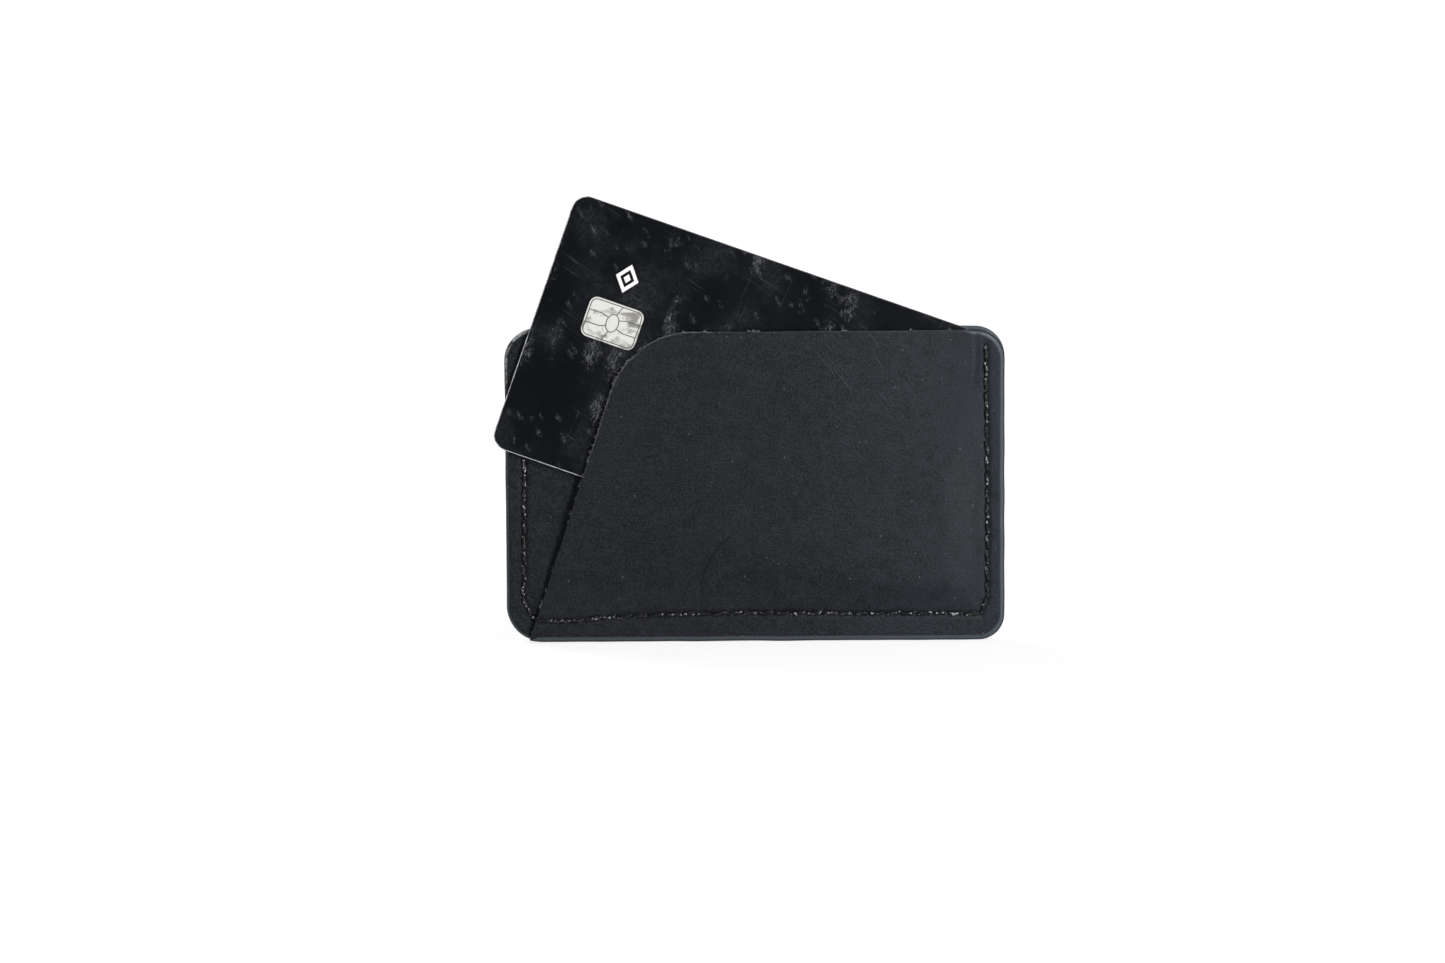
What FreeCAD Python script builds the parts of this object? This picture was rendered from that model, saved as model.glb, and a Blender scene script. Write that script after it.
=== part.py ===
import FreeCAD, Part
import math
import os
import Sketcher

# A flat leather card holder of three stitched panels, standing on its bottom edge, with a chip card
# leaning in its front pocket. Millimetres. +X is to the right seen from the front, the front faces
# -Y, and +Z is up. The origin is at the middle of the bottom edge, in the middle panel's mid plane.

SIZES = {
    # leather
    "panel_width": 101.0,
    "panel_height": 63.8,
    "front_height": 63.2,
    "leather_thickness": 1.4,
    "corner_bottom_left": 8.0,
    "corner_bottom_right": 5.2,
    "corner_top_right": 6.0,
    "corner_top_left": 6.5,
    # the front panel's slanted free edge
    "slant_foot": -46.0,
    "slant_top": -25.1,
    "slant_corner": 17.6,
    "slant_tip_radius": 2.5,
    # the pocket that the card spreads open between the front and middle panels
    "pocket_gap": 1.45,
    "pocket_side": 46.0,
    "pocket_floor": 6.9,
    "spread_top": 45.5,
    "spread_heel": 28.7,
    "spread_heel_height": 10.2,
    "spread_slant_height": 30.5,
    "seam_land": 0.4,
    # the main pocket between the middle and back panels
    "main_gap": 0.9,
    "main_spread_side": 38.0,
    "main_spread_floor": 16.0,
    # stitching
    "seam_left": -46.7,
    "seam_right": 46.7,
    "seam_bottom": 5.2,
    "left_seam_foot": 9.4,
    "left_seam_top": 59.0,
    "left_stitches": 16,
    "left_turn": -45.4,
    "bottom_seam_start": -43.3,
    "bottom_seam_end": 45.5,
    "bottom_stitches": 28,
    "right_seam_foot": 8.7,
    "right_seam_top": 59.9,
    "right_stitches": 16,
    "thread_width": 0.6,
    "awl_hole_radius": 0.42,
    "strand_radius": 0.34,
    "groove_depth": 0.45,
    "groove_width": 0.8,
    "stitch_proud": 0.15,
    # the card, an ID-1 laminate, in its own frame: level, with the origin at its centre
    "card_length": 85.6,
    "card_height": 53.98,
    "card_corner": 3.18,
    "sheet_thickness": 0.25,
    "inlay_thickness": 0.26,
    "card_edge_rounding": 0.08,
    "card_tilt": 19.6,
    "card_centre_across": -4.1,
    "card_centre_depth": -1.43,
    "card_centre_up": 51.45,
    # the chip module, set into the card's face
    "chip_from_left": 15.3,
    "chip_from_top": 22.6,
    "chip_length": 11.4,
    "chip_height": 8.3,
    "chip_corner": 1.6,
    "module_clearance": 0.05,
    "contact_thickness": 0.05,
    "contact_proud": 0.01,
    "tape_thickness": 0.14,
    "globtop_length": 6.4,
    "globtop_height": 5.4,
    "globtop_depth": 0.28,
    "contact_rim": 0.28,
    "contact_groove": 0.2,
    "centre_pad_length": 2.3,
    "centre_pad_height": 3.45,
    # the etched lines run from a knee to the centre pad and to the plate's edge
    "side_line_height": 1.3,
    "side_line_knee": 2.5,
    "side_line_inner_across": 1.0,
    "side_line_inner_height": 0.85,
    "divider_inner_across": 0.25,
    "divider_inner_height": 1.75,
    "divider_outer_across": 1.2,
    # the aerial, an etched track wound between the sheets
    "track_width": 0.4,
    "track_thickness": 0.05,
    "track_pitch": 0.9,
    "track_turns": 4,
    "track_margin": 4.0,
    # what is printed or laid on the card's faces
    "mark_from_left": 15.2,
    "mark_from_top": 13.1,
    "mark_width": 4.8,
    "mark_height": 6.0,
    "mark_inner_width": 3.0,
    "mark_inner_height": 3.75,
    "mark_centre_width": 1.5,
    "mark_centre_height": 1.9,
    "film_thickness": 0.03,
    "stripe_height": 12.0,
    "stripe_from_top": 4.0,
}


class Dim:
    """A number together with the spreadsheet expression that drives it."""

    def __init__(self, number, text):
        self.number = number
        self.text = text

    def join(self, sign, other, number):
        other = as_dim(other)
        return Dim(number, f"({self.text} {sign} {other.text})")

    def __add__(self, other):
        return self.join("+", other, self.number + as_dim(other).number)

    def __sub__(self, other):
        return self.join("-", other, self.number - as_dim(other).number)

    def __mul__(self, other):
        return self.join("*", other, self.number * as_dim(other).number)

    def __truediv__(self, other):
        return self.join("/", other, self.number / as_dim(other).number)

    def __neg__(self):
        return Dim(-self.number, f"(0 - {self.text})")


def as_dim(value):
    """The same value as a Dim, whether it is a Dim or a plain number."""
    if isinstance(value, Dim):
        return value
    return Dim(value, f"({value})")


document = FreeCAD.newDocument("card_holder")
sheet = document.addObject("Spreadsheet::Sheet", "Sizes")
for row, (alias, value) in enumerate(SIZES.items(), start=1):
    sheet.set(f"A{row}", alias)
    sheet.set(f"B{row}", str(value))
    sheet.setAlias(f"B{row}", alias)
document.recompute()


def size(alias):
    """The driving dimension of that name."""
    return Dim(SIZES[alias], f"Sizes.{alias}")


def bind(item, target, value):
    """Set one property of an object and tie it to the spreadsheet."""
    item.setExpression(target, as_dim(value).text)


def origin_feature(body, role):
    """The body's own origin plane or axis with that role."""
    return [feature for feature in body.Origin.OriginFeatures if feature.Role == role][0]


def new_body(label):
    body = document.addObject("PartDesign::Body", label)
    body.Label = label
    body.AllowCompound = True
    return body


def front_sketch(body, name, depth):
    """A sketch facing the front, `depth` in front of the body's XZ plane (towards -Y)."""
    sketch = body.newObject("Sketcher::SketchObject", name)
    sketch.AttachmentSupport = [(origin_feature(body, "XZ_Plane"), "")]
    sketch.MapMode = "FlatFace"
    bind(sketch, "AttachmentOffset.Base.z", depth)
    return sketch


def place_point(sketch, geometry, point, across, up):
    """Fix one point of a sketch at driven distances from the sketch's origin."""
    for kind, value in (("DistanceX", across), ("DistanceY", up)):
        value = as_dim(value)
        constraint = Sketcher.Constraint(kind, -1, 1, geometry, point, value.number)
        index = sketch.addConstraint(constraint)
        sketch.setExpression(f"Constraints[{index}]", value.text)


def polygon(sketch, corners):
    """A closed outline of straight lines through the given (across, up) corners."""
    first = sketch.GeometryCount
    count = len(corners)
    points = [FreeCAD.Vector(as_dim(across).number, as_dim(up).number, 0) for across, up in corners]
    for index in range(count):
        sketch.addGeometry(Part.LineSegment(points[index], points[(index + 1) % count]), False)
    for index in range(count):
        following = first + (index + 1) % count
        sketch.addConstraint(Sketcher.Constraint("Coincident", first + index, 2, following, 1))
    for index, (across, up) in enumerate(corners):
        place_point(sketch, first + index, 1, across, up)


def rectangle(across, up, length, height):
    """Corners of an upright rectangle centred at (across, up)."""
    left = as_dim(across) - as_dim(length) / 2
    low = as_dim(up) - as_dim(height) / 2
    right = left + length
    high = low + height
    return [(left, low), (right, low), (right, high), (left, high)]


def circle(sketch, across, up, radius):
    """A driven circle centred at (across, up)."""
    centre = FreeCAD.Vector(as_dim(across).number, as_dim(up).number, 0)
    index = sketch.addGeometry(Part.Circle(centre, FreeCAD.Vector(0, 0, 1), radius.number), False)
    place_point(sketch, index, 3, across, up)
    constraint = sketch.addConstraint(Sketcher.Constraint("Radius", index, radius.number))
    sketch.setExpression(f"Constraints[{constraint}]", radius.text)


def ellipse(sketch, across, up, length, height):
    """An upright ellipse centred at (across, up), drawn from the present sizes."""
    centre = FreeCAD.Vector(as_dim(across).number, as_dim(up).number, 0)
    top = centre + FreeCAD.Vector(0, as_dim(height).number / 2, 0)
    side = centre + FreeCAD.Vector(as_dim(length).number / 2, 0, 0)
    sketch.addGeometry(Part.Ellipse(top, side, centre), False)


def pad(body, name, sketch, length, reverse=False):
    feature = body.newObject("PartDesign::Pad", name)
    feature.Profile = sketch
    feature.Reversed = reverse
    bind(feature, "Length", length)
    document.recompute()
    return feature


def pocket(body, name, sketch, length, reverse=False):
    """Cut the sketch away from the material, and make sure that the cut took some."""
    before = body.Tip.Shape.Volume
    feature = body.newObject("PartDesign::Pocket", name)
    feature.Profile = sketch
    feature.Reversed = reverse
    bind(feature, "Length", length)
    document.recompute()
    if feature.Shape.Volume >= before:
        raise RuntimeError(f"{name} of {body.Label} cuts nothing")
    return feature


def loft(body, name, kind, first, second):
    feature = body.newObject(kind, name)
    feature.Profile = first
    feature.Sections = [second]
    feature.Ruled = True
    document.recompute()
    return feature


def repeat(body, name, features, role, length, count):
    """Repeat features along one of the body's axes over a driven length."""
    pattern = body.newObject("PartDesign::LinearPattern", name)
    pattern.Originals = features
    pattern.Direction = (origin_feature(body, role), [""])
    bind(pattern, "Length", length)
    bind(pattern, "Occurrences", count)
    body.Tip = pattern
    document.recompute()
    return pattern


def round_edges(body, name, edges, radius):
    """Round the edges of the body's present shape that the test picks."""
    base = body.Tip
    names = [f"Edge{number}" for number, edge in enumerate(base.Shape.Edges, start=1) if edges(edge)]
    if not names:
        raise RuntimeError(f"{name} of {body.Label} finds no edge")
    feature = body.newObject("PartDesign::Fillet", name)
    feature.Base = (base, names)
    bind(feature, "Radius", radius)
    document.recompute()
    return feature


def upright_edge(across, up):
    """Picks the edges that run front to back through (across, up)."""
    across = as_dim(across).number
    up = as_dim(up).number

    def test(edge):
        ends = [vertex.Point for vertex in edge.Vertexes]
        return all(abs(end.x - across) < 0.01 and abs(end.z - up) < 0.01 for end in ends)

    return test


def edges_on_face(depth):
    """Picks the edges that lie wholly at one depth."""

    def test(edge):
        box = edge.BoundBox
        return abs(box.YMin + depth) < 0.001 and abs(box.YMax + depth) < 0.001

    return test


# ---------------------------------------------------------------- leather panels

HALF_WIDTH = size("panel_width") / 2
MIDDLE_FACE = size("leather_thickness") / 2
OUTER_FACE = size("leather_thickness") * 1.5
LEFT_PITCH = (size("left_seam_top") - size("left_seam_foot")) / size("left_stitches")
BOTTOM_LENGTH = size("bottom_seam_end") - size("bottom_seam_start")
BOTTOM_PITCH = BOTTOM_LENGTH / size("bottom_stitches")
RIGHT_PITCH = (size("right_seam_top") - size("right_seam_foot")) / size("right_stitches")
SLANT_LEAN = (size("slant_top") - size("slant_foot")) / size("front_height")
PAST_EDGE = 3


def slant_at(up):
    """Where the front panel's slanted edge is at a height."""
    return size("slant_foot") + SLANT_LEAN * up


def trim_corner(body, name, corner, inwards, start_angle, radius):
    """Cut a square corner of the outline to an arc, through everything that the body has there."""
    across, up = as_dim(corner[0]), as_dim(corner[1])
    along = (across + radius * inwards[0], up)
    above = (across, up + radius * inwards[1])
    sketch = front_sketch(body, f"{name}_sketch", size("pocket_gap") + OUTER_FACE)
    centre = FreeCAD.Vector(along[0].number, above[1].number, 0)
    rim = Part.Circle(centre, FreeCAD.Vector(0, 0, 1), radius.number)
    start = math.radians(start_angle)
    arc = Part.ArcOfCircle(rim, start, start + math.pi / 2)
    point = FreeCAD.Vector(across.number, up.number, 0)
    sketch.addGeometry(arc, False)
    sketch.addGeometry(Part.LineSegment(arc.EndPoint, point), False)
    sketch.addGeometry(Part.LineSegment(point, arc.StartPoint), False)
    for first, second in ((0, 1), (1, 2), (2, 0)):
        sketch.addConstraint(Sketcher.Constraint("Coincident", first, 2, second, 1))
    starts_along = inwards[0] * inwards[1] < 0
    start_place, end_place = (along, above) if starts_along else (above, along)
    place_point(sketch, 0, 1, *start_place)
    place_point(sketch, 0, 2, *end_place)
    place_point(sketch, 1, 2, across, up)
    constraint = sketch.addConstraint(Sketcher.Constraint("Radius", 0, radius.number))
    sketch.setExpression(f"Constraints[{constraint}]", radius.text)
    return pocket(body, name, sketch, size("panel_width"))


def trim_outline(body, corners):
    """Round the outline's square corners, each with its own radius."""
    for name, corner, inwards, start_angle, radius in corners:
        trim_corner(body, name, corner, inwards, start_angle, radius)


def awl_row(body, name, across, up, role, length, count):
    """A row of awl holes through the body, starting at (across, up)."""
    sketch = front_sketch(body, f"{name}_sketch", size("pocket_gap") + OUTER_FACE)
    circle(sketch, across, up, size("awl_hole_radius"))
    hole = pocket(body, f"{name}_hole", sketch, size("panel_width"))
    return repeat(body, f"{name}_row", [hole], role, length, count)


def single_awl_hole(body, name, across, up):
    sketch = front_sketch(body, f"{name}_sketch", size("pocket_gap") + OUTER_FACE)
    circle(sketch, across, up, size("awl_hole_radius"))
    return pocket(body, f"{name}_hole", sketch, size("panel_width"))


def slanted_strip(start, end, width):
    """Corners of a strip of the given width between two points, leaning mostly up."""
    half = as_dim(width) / 2
    return [
        (start[0] - half, start[1]),
        (start[0] + half, start[1]),
        (end[0] + half, end[1]),
        (end[0] - half, end[1]),
    ]


def level_strip(start, end, width):
    """Corners of a strip of the given width between two points, leaning mostly across."""
    half = as_dim(width) / 2
    return [
        (start[0], start[1] - half),
        (end[0], end[1] - half),
        (end[0], end[1] + half),
        (start[0], start[1] + half),
    ]


LEFT_TOP = (size("seam_left"), size("left_seam_top"))
LEFT_FOOT = (size("seam_left"), size("left_seam_foot"))
LEFT_TURN = (size("left_turn"), size("seam_bottom"))
BOTTOM_START = (size("bottom_seam_start"), size("seam_bottom"))
BOTTOM_END = (size("bottom_seam_end"), size("seam_bottom"))
RIGHT_FOOT = (size("seam_right"), size("right_seam_foot"))
RIGHT_TOP = (size("seam_right"), size("right_seam_top"))


def groove(body, name, corners, face_depth, reverse):
    """A stitching groove sunk into a face, so that the thread lies nearly flush."""
    sketch = front_sketch(body, f"{name}_sketch", face_depth)
    polygon(sketch, corners)
    return pocket(body, name, sketch, size("groove_depth"), reverse)


def left_grooves(body, face_depth, reverse):
    """The grooves of the left seam and of the stitch that turns its lower corner."""
    spare = size("groove_width") / 2
    width = size("groove_width")
    top = (LEFT_TOP[0], LEFT_TOP[1] + spare)
    groove(body, "left_groove", slanted_strip(LEFT_FOOT, top, width), face_depth, reverse)
    foot = (LEFT_TURN[0], LEFT_TURN[1] - spare)
    groove(body, "left_turn_groove", slanted_strip(foot, LEFT_FOOT, width), face_depth, reverse)


def other_grooves(body, face_depth, reverse, start):
    """The grooves of the bottom and right seams, from a starting point on the bottom seam."""
    spare = size("groove_width") / 2
    width = size("groove_width")
    end = (BOTTOM_END[0] + spare, BOTTOM_END[1])
    groove(body, "bottom_groove", level_strip(start, end, width), face_depth, reverse)
    groove(body, "right_turn_groove", slanted_strip(BOTTOM_END, RIGHT_FOOT, width), face_depth, reverse)
    top = (RIGHT_TOP[0], RIGHT_TOP[1] + spare)
    groove(body, "right_groove", slanted_strip(RIGHT_FOOT, top, width), face_depth, reverse)


def left_holes(body):
    left_length = size("left_seam_top") - size("left_seam_foot")
    holes = size("left_stitches") + 1
    awl_row(body, "left", LEFT_FOOT[0], LEFT_FOOT[1], "Z_Axis", left_length, holes)
    single_awl_hole(body, "left_turn", LEFT_TURN[0], LEFT_TURN[1])


def other_holes(body):
    right_length = size("right_seam_top") - size("right_seam_foot")
    holes = size("bottom_stitches") + 1
    awl_row(body, "bottom", BOTTOM_START[0], BOTTOM_START[1], "X_Axis", BOTTOM_LENGTH, holes)
    holes = size("right_stitches") + 1
    awl_row(body, "right", RIGHT_FOOT[0], RIGHT_FOOT[1], "Z_Axis", right_length, holes)


FULL_OUTLINE = [
    (-HALF_WIDTH, 0),
    (HALF_WIDTH, 0),
    (HALF_WIDTH, size("panel_height")),
    (-HALF_WIDTH, size("panel_height")),
]
BOTTOM_LEFT = ("bottom_left", (-HALF_WIDTH, 0), (1, 1), 180, size("corner_bottom_left"))
BOTTOM_RIGHT = ("bottom_right", (HALF_WIDTH, 0), (-1, 1), 270, size("corner_bottom_right"))
TOP_RIGHT = ("top_right", (HALF_WIDTH, size("panel_height")), (-1, -1), 0, size("corner_top_right"))
TOP_LEFT = ("top_left", (-HALF_WIDTH, size("panel_height")), (1, -1), 90, size("corner_top_left"))
FRONT_TOP_RIGHT = ("top_right", (HALF_WIDTH, size("front_height")), (-1, -1), 0, size("corner_top_right"))
FULL_CORNERS = [BOTTOM_LEFT, BOTTOM_RIGHT, TOP_RIGHT, TOP_LEFT]


def make_middle_panel():
    """The flat panel that both pockets share. Its left margin shows beside the front panel."""
    body = new_body("middle_panel")
    sketch = front_sketch(body, "outline", -MIDDLE_FACE)
    polygon(sketch, FULL_OUTLINE)
    pad(body, "leather", sketch, size("leather_thickness"))
    trim_outline(body, FULL_CORNERS)
    left_grooves(body, MIDDLE_FACE, False)
    left_holes(body)
    other_holes(body)
    return body


def make_back_panel():
    """The rear panel, bowed a little away from the middle one to leave the main pocket."""
    body = new_body("back_panel")
    sketch = front_sketch(body, "outline", -MIDDLE_FACE)
    polygon(sketch, FULL_OUTLINE)
    pad(body, "leather", sketch, size("leather_thickness"), True)

    land = size("seam_land")
    side = size("pocket_side")
    inner_side = size("main_spread_side")
    inner_floor = size("main_spread_floor")
    top = size("panel_height")
    swell = [
        (-side - land, size("pocket_floor") - land),
        (side + land, size("pocket_floor") - land),
        (side + land, top),
        (-side - land, top),
    ]
    crest = [(-inner_side, inner_floor), (inner_side, inner_floor), (inner_side, top), (-inner_side, top)]
    first = front_sketch(body, "swell_foot", -OUTER_FACE)
    polygon(first, swell)
    second = front_sketch(body, "swell_crest", -OUTER_FACE - size("main_gap"))
    polygon(second, crest)
    loft(body, "swell", "PartDesign::AdditiveLoft", first, second)
    trim_outline(body, FULL_CORNERS)

    past_top = top + PAST_EDGE
    floor = size("pocket_floor")
    mouth = [(-side, floor), (side, floor), (side, past_top), (-side, past_top)]
    inner = [
        (-inner_side, inner_floor),
        (inner_side, inner_floor),
        (inner_side, past_top),
        (-inner_side, past_top),
    ]
    first = front_sketch(body, "hollow_foot", -MIDDLE_FACE)
    polygon(first, mouth)
    second = front_sketch(body, "hollow_crest", -MIDDLE_FACE - size("main_gap"))
    polygon(second, inner)
    loft(body, "hollow", "PartDesign::SubtractiveLoft", first, second)

    left_grooves(body, -OUTER_FACE, True)
    other_grooves(body, -OUTER_FACE, True, LEFT_TURN)
    left_holes(body)
    other_holes(body)
    return body


def make_front_panel():
    """The front panel: a slanted free edge at the left, stood off its seams by the card behind it."""
    body = new_body("front_panel")
    high = size("front_height")
    floor = size("pocket_floor")
    side = size("pocket_side")
    land = size("seam_land")
    rise = size("spread_slant_height")
    heel = size("spread_heel")
    heel_up = size("spread_heel_height")
    sketch = front_sketch(body, "outline", MIDDLE_FACE)
    outline = [(size("slant_foot"), 0), (HALF_WIDTH, 0), (HALF_WIDTH, high), (size("slant_top"), high)]
    polygon(sketch, outline)
    pad(body, "leather", sketch, size("leather_thickness"))

    swell = [(slant_at(floor - land), floor - land), (side + land, floor - land), (side + land, high)]
    crest = [(slant_at(rise - land), rise - land), (heel + land, heel_up - land)]
    crest = crest + [(size("spread_top") + land, high)]
    first = front_sketch(body, "swell_foot", OUTER_FACE)
    polygon(first, swell + [(size("slant_top"), high)])
    second = front_sketch(body, "swell_crest", OUTER_FACE + size("pocket_gap"))
    polygon(second, crest + [(size("slant_top"), high)])
    loft(body, "swell", "PartDesign::AdditiveLoft", first, second)
    round_edges(body, "slant_tip", upright_edge(size("slant_foot"), 0), size("slant_tip_radius"))
    round_edges(body, "slant_shoulder", upright_edge(size("slant_top"), high), size("slant_corner"))
    trim_outline(body, [BOTTOM_RIGHT, FRONT_TOP_RIGHT])

    past_top = high + PAST_EDGE
    mouth = [(slant_at(floor) - PAST_EDGE, floor), (side, floor), (side, past_top)]
    inner = [(slant_at(rise) - PAST_EDGE, rise), (heel, heel_up), (size("spread_top"), past_top)]
    first = front_sketch(body, "hollow_foot", MIDDLE_FACE)
    polygon(first, mouth + [(slant_at(past_top) - PAST_EDGE, past_top)])
    second = front_sketch(body, "hollow_crest", MIDDLE_FACE + size("pocket_gap"))
    polygon(second, inner + [(slant_at(past_top) - PAST_EDGE, past_top)])
    loft(body, "hollow", "PartDesign::SubtractiveLoft", first, second)

    other_grooves(body, OUTER_FACE, False, LEFT_TURN)
    other_holes(body)
    return body


# ---------------------------------------------------------------- thread

def strand(body, name, place, front_depth):
    """The thread standing in one awl hole, from the front stitches to the back ones."""
    sketch = front_sketch(body, f"{name}_sketch", front_depth)
    circle(sketch, place[0], place[1], size("strand_radius"))
    return pad(body, name, sketch, as_dim(front_depth) + OUTER_FACE, True)


def stitch_pair(body, name, corners, front_depth):
    """One stitch on the front and the matching one on the back."""
    width = size("thread_width")
    proud = size("stitch_proud")
    sketch = front_sketch(body, f"{name}_front_sketch", as_dim(front_depth) + proud)
    polygon(sketch, corners)
    front = pad(body, f"{name}_front", sketch, width, True)
    sketch = front_sketch(body, f"{name}_back_sketch", -OUTER_FACE - proud)
    polygon(sketch, corners)
    back = pad(body, f"{name}_back", sketch, width)
    return [front, back]


def make_seam_thread():
    """One waxed thread, saddle stitched down the left seam, along the bottom and up the right."""
    body = new_body("seam_thread")
    width = size("thread_width")

    strand(body, "left_top_strand", LEFT_TOP, MIDDLE_FACE)
    above_foot = (LEFT_FOOT[0], LEFT_FOOT[1] + LEFT_PITCH)
    unit = [strand(body, "left_strand", LEFT_FOOT, MIDDLE_FACE)]
    strip = slanted_strip(LEFT_FOOT, above_foot, width)
    unit = unit + stitch_pair(body, "left_stitch", strip, MIDDLE_FACE)
    span = size("left_seam_top") - size("left_seam_foot") - LEFT_PITCH
    repeat(body, "left_row", unit, "Z_Axis", span, size("left_stitches"))

    stitch_pair(body, "left_turn_stitch", slanted_strip(LEFT_TURN, LEFT_FOOT, width), MIDDLE_FACE)
    strand(body, "left_turn_strand", LEFT_TURN, OUTER_FACE)
    stitch_pair(body, "step_stitch", level_strip(LEFT_TURN, BOTTOM_START, width), OUTER_FACE)

    after_start = (BOTTOM_START[0] + BOTTOM_PITCH, BOTTOM_START[1])
    unit = [strand(body, "bottom_strand", BOTTOM_START, OUTER_FACE)]
    strip = level_strip(BOTTOM_START, after_start, width)
    unit = unit + stitch_pair(body, "bottom_stitch", strip, OUTER_FACE)
    repeat(body, "bottom_row", unit, "X_Axis", BOTTOM_LENGTH - BOTTOM_PITCH, size("bottom_stitches"))

    strand(body, "right_turn_strand", BOTTOM_END, OUTER_FACE)
    stitch_pair(body, "right_turn_stitch", slanted_strip(BOTTOM_END, RIGHT_FOOT, width), OUTER_FACE)

    above_foot = (RIGHT_FOOT[0], RIGHT_FOOT[1] + RIGHT_PITCH)
    unit = [strand(body, "right_strand", RIGHT_FOOT, OUTER_FACE)]
    strip = slanted_strip(RIGHT_FOOT, above_foot, width)
    unit = unit + stitch_pair(body, "right_stitch", strip, OUTER_FACE)
    span = size("right_seam_top") - size("right_seam_foot") - RIGHT_PITCH
    repeat(body, "right_row", unit, "Z_Axis", span, size("right_stitches"))
    strand(body, "right_top_strand", RIGHT_TOP, OUTER_FACE)
    return body


# ---------------------------------------------------------------- card

CARD_LEFT = -size("card_length") / 2
CARD_TOP = size("card_height") / 2
CARD_FACE = size("sheet_thickness") + size("inlay_thickness") / 2
INLAY_FACE = size("inlay_thickness") / 2
CHIP_ACROSS = CARD_LEFT + size("chip_from_left")
CHIP_UP = CARD_TOP - size("chip_from_top")
MODULE_RECESS = size("contact_thickness") + size("tape_thickness") + size("module_clearance") / 2
MODULE = (size("chip_length"), size("chip_height"))
GLOBTOP = (size("globtop_length"), size("globtop_height"))


def lean_in_pocket(item):
    """Put a piece of the card, modelled level at the origin, where the card leans in the pocket."""
    item.Placement = FreeCAD.Placement(FreeCAD.Vector(), FreeCAD.Rotation(FreeCAD.Vector(0, 1, 0), 1))
    bind(item, "Placement.Base.x", size("card_centre_across"))
    bind(item, "Placement.Base.y", size("card_centre_depth"))
    bind(item, "Placement.Base.z", size("card_centre_up"))
    bind(item, "Placement.Rotation.Angle", size("card_tilt"))


def card_blank(label, front_depth, thickness):
    """A card-sized sheet with rounded corners, from its front face back."""
    body = new_body(label)
    sketch = front_sketch(body, "outline", front_depth)
    polygon(sketch, rectangle(0, 0, size("card_length"), size("card_height")))
    pad(body, "sheet", sketch, thickness, True)
    for name, across, up in (
        ("bottom_left", CARD_LEFT, -CARD_TOP),
        ("bottom_right", -CARD_LEFT, -CARD_TOP),
        ("top_right", -CARD_LEFT, CARD_TOP),
        ("top_left", CARD_LEFT, CARD_TOP),
    ):
        round_edges(body, name, upright_edge(across, up), size("card_corner"))
    return body


def chip_opening(body, name, front_depth, extent, depth):
    """Mill a rectangle back from a face, for a piece of the chip module of the given extent."""
    sketch = front_sketch(body, f"{name}_sketch", front_depth)
    gap = size("module_clearance")
    polygon(sketch, rectangle(CHIP_ACROSS, CHIP_UP, extent[0] + gap * 2, extent[1] + gap * 2))
    return pocket(body, name, sketch, depth)


def round_module_corners(body, name, outset, radius):
    """Round the four upright corners of the module's outline, moved outwards by a distance."""
    half_length = size("chip_length") / 2 + outset
    half_height = size("chip_height") / 2 + outset
    for side, across in (("left", CHIP_ACROSS - half_length), ("right", CHIP_ACROSS + half_length)):
        for level, up in (("low", CHIP_UP - half_height), ("high", CHIP_UP + half_height)):
            round_edges(body, f"{name}_{side}_{level}", upright_edge(across, up), radius)


def make_card_front_sheet():
    """The printed front sheet, milled for the chip module."""
    body = card_blank("card_front_sheet", CARD_FACE, size("sheet_thickness"))
    round_edges(body, "rim", edges_on_face(CARD_FACE.number), size("card_edge_rounding"))
    gap = size("module_clearance")
    chip_opening(body, "module_recess", CARD_FACE, MODULE, MODULE_RECESS)
    round_module_corners(body, "recess", gap, size("chip_corner") + gap)
    chip_opening(body, "globtop_window", CARD_FACE, GLOBTOP, size("sheet_thickness"))
    return body


def make_inlay_sheet():
    """The plain core sheet, with a window for the potted chip."""
    body = card_blank("inlay_sheet", INLAY_FACE, size("inlay_thickness"))
    chip_opening(body, "globtop_window", INLAY_FACE, GLOBTOP, size("inlay_thickness"))
    return body


def make_card_back_sheet():
    body = card_blank("card_back_sheet", -INLAY_FACE, size("sheet_thickness"))
    round_edges(body, "rim", edges_on_face(-CARD_FACE.number), size("card_edge_rounding"))
    return body


def aerial_track():
    """A flat track wound inwards round the card, let into the inlay's front face."""
    width = SIZES["track_width"]
    thickness = SIZES["track_thickness"]
    front = -INLAY_FACE.number
    half_length = SIZES["card_length"] / 2 - SIZES["track_margin"]
    half_height = SIZES["card_height"] / 2 - SIZES["track_margin"]
    corners = []
    for turn in range(SIZES["track_turns"]):
        across = half_length - turn * SIZES["track_pitch"]
        up = half_height - turn * SIZES["track_pitch"]
        next_up = up - SIZES["track_pitch"]
        corners += [(-across, up), (across, up), (across, -up), (-across, -up)]
        corners.append((-across, next_up))
        corners.append((-across + SIZES["track_pitch"], next_up))
    runs = []
    for (x_from, z_from), (x_to, z_to) in zip(corners, corners[1:]):
        low_x = min(x_from, x_to) - width / 2
        low_z = min(z_from, z_to) - width / 2
        length = abs(x_to - x_from) + width
        height = abs(z_to - z_from) + width
        runs.append(Part.makeBox(length, thickness, height, FreeCAD.Vector(low_x, front, low_z)))
    return runs[0].fuse(runs[1:]).removeSplitter().Solids[0]


def track_feature(label):
    feature = document.addObject("Part::Feature", label)
    feature.Label = label
    feature.Shape = aerial_track()
    return feature


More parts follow.
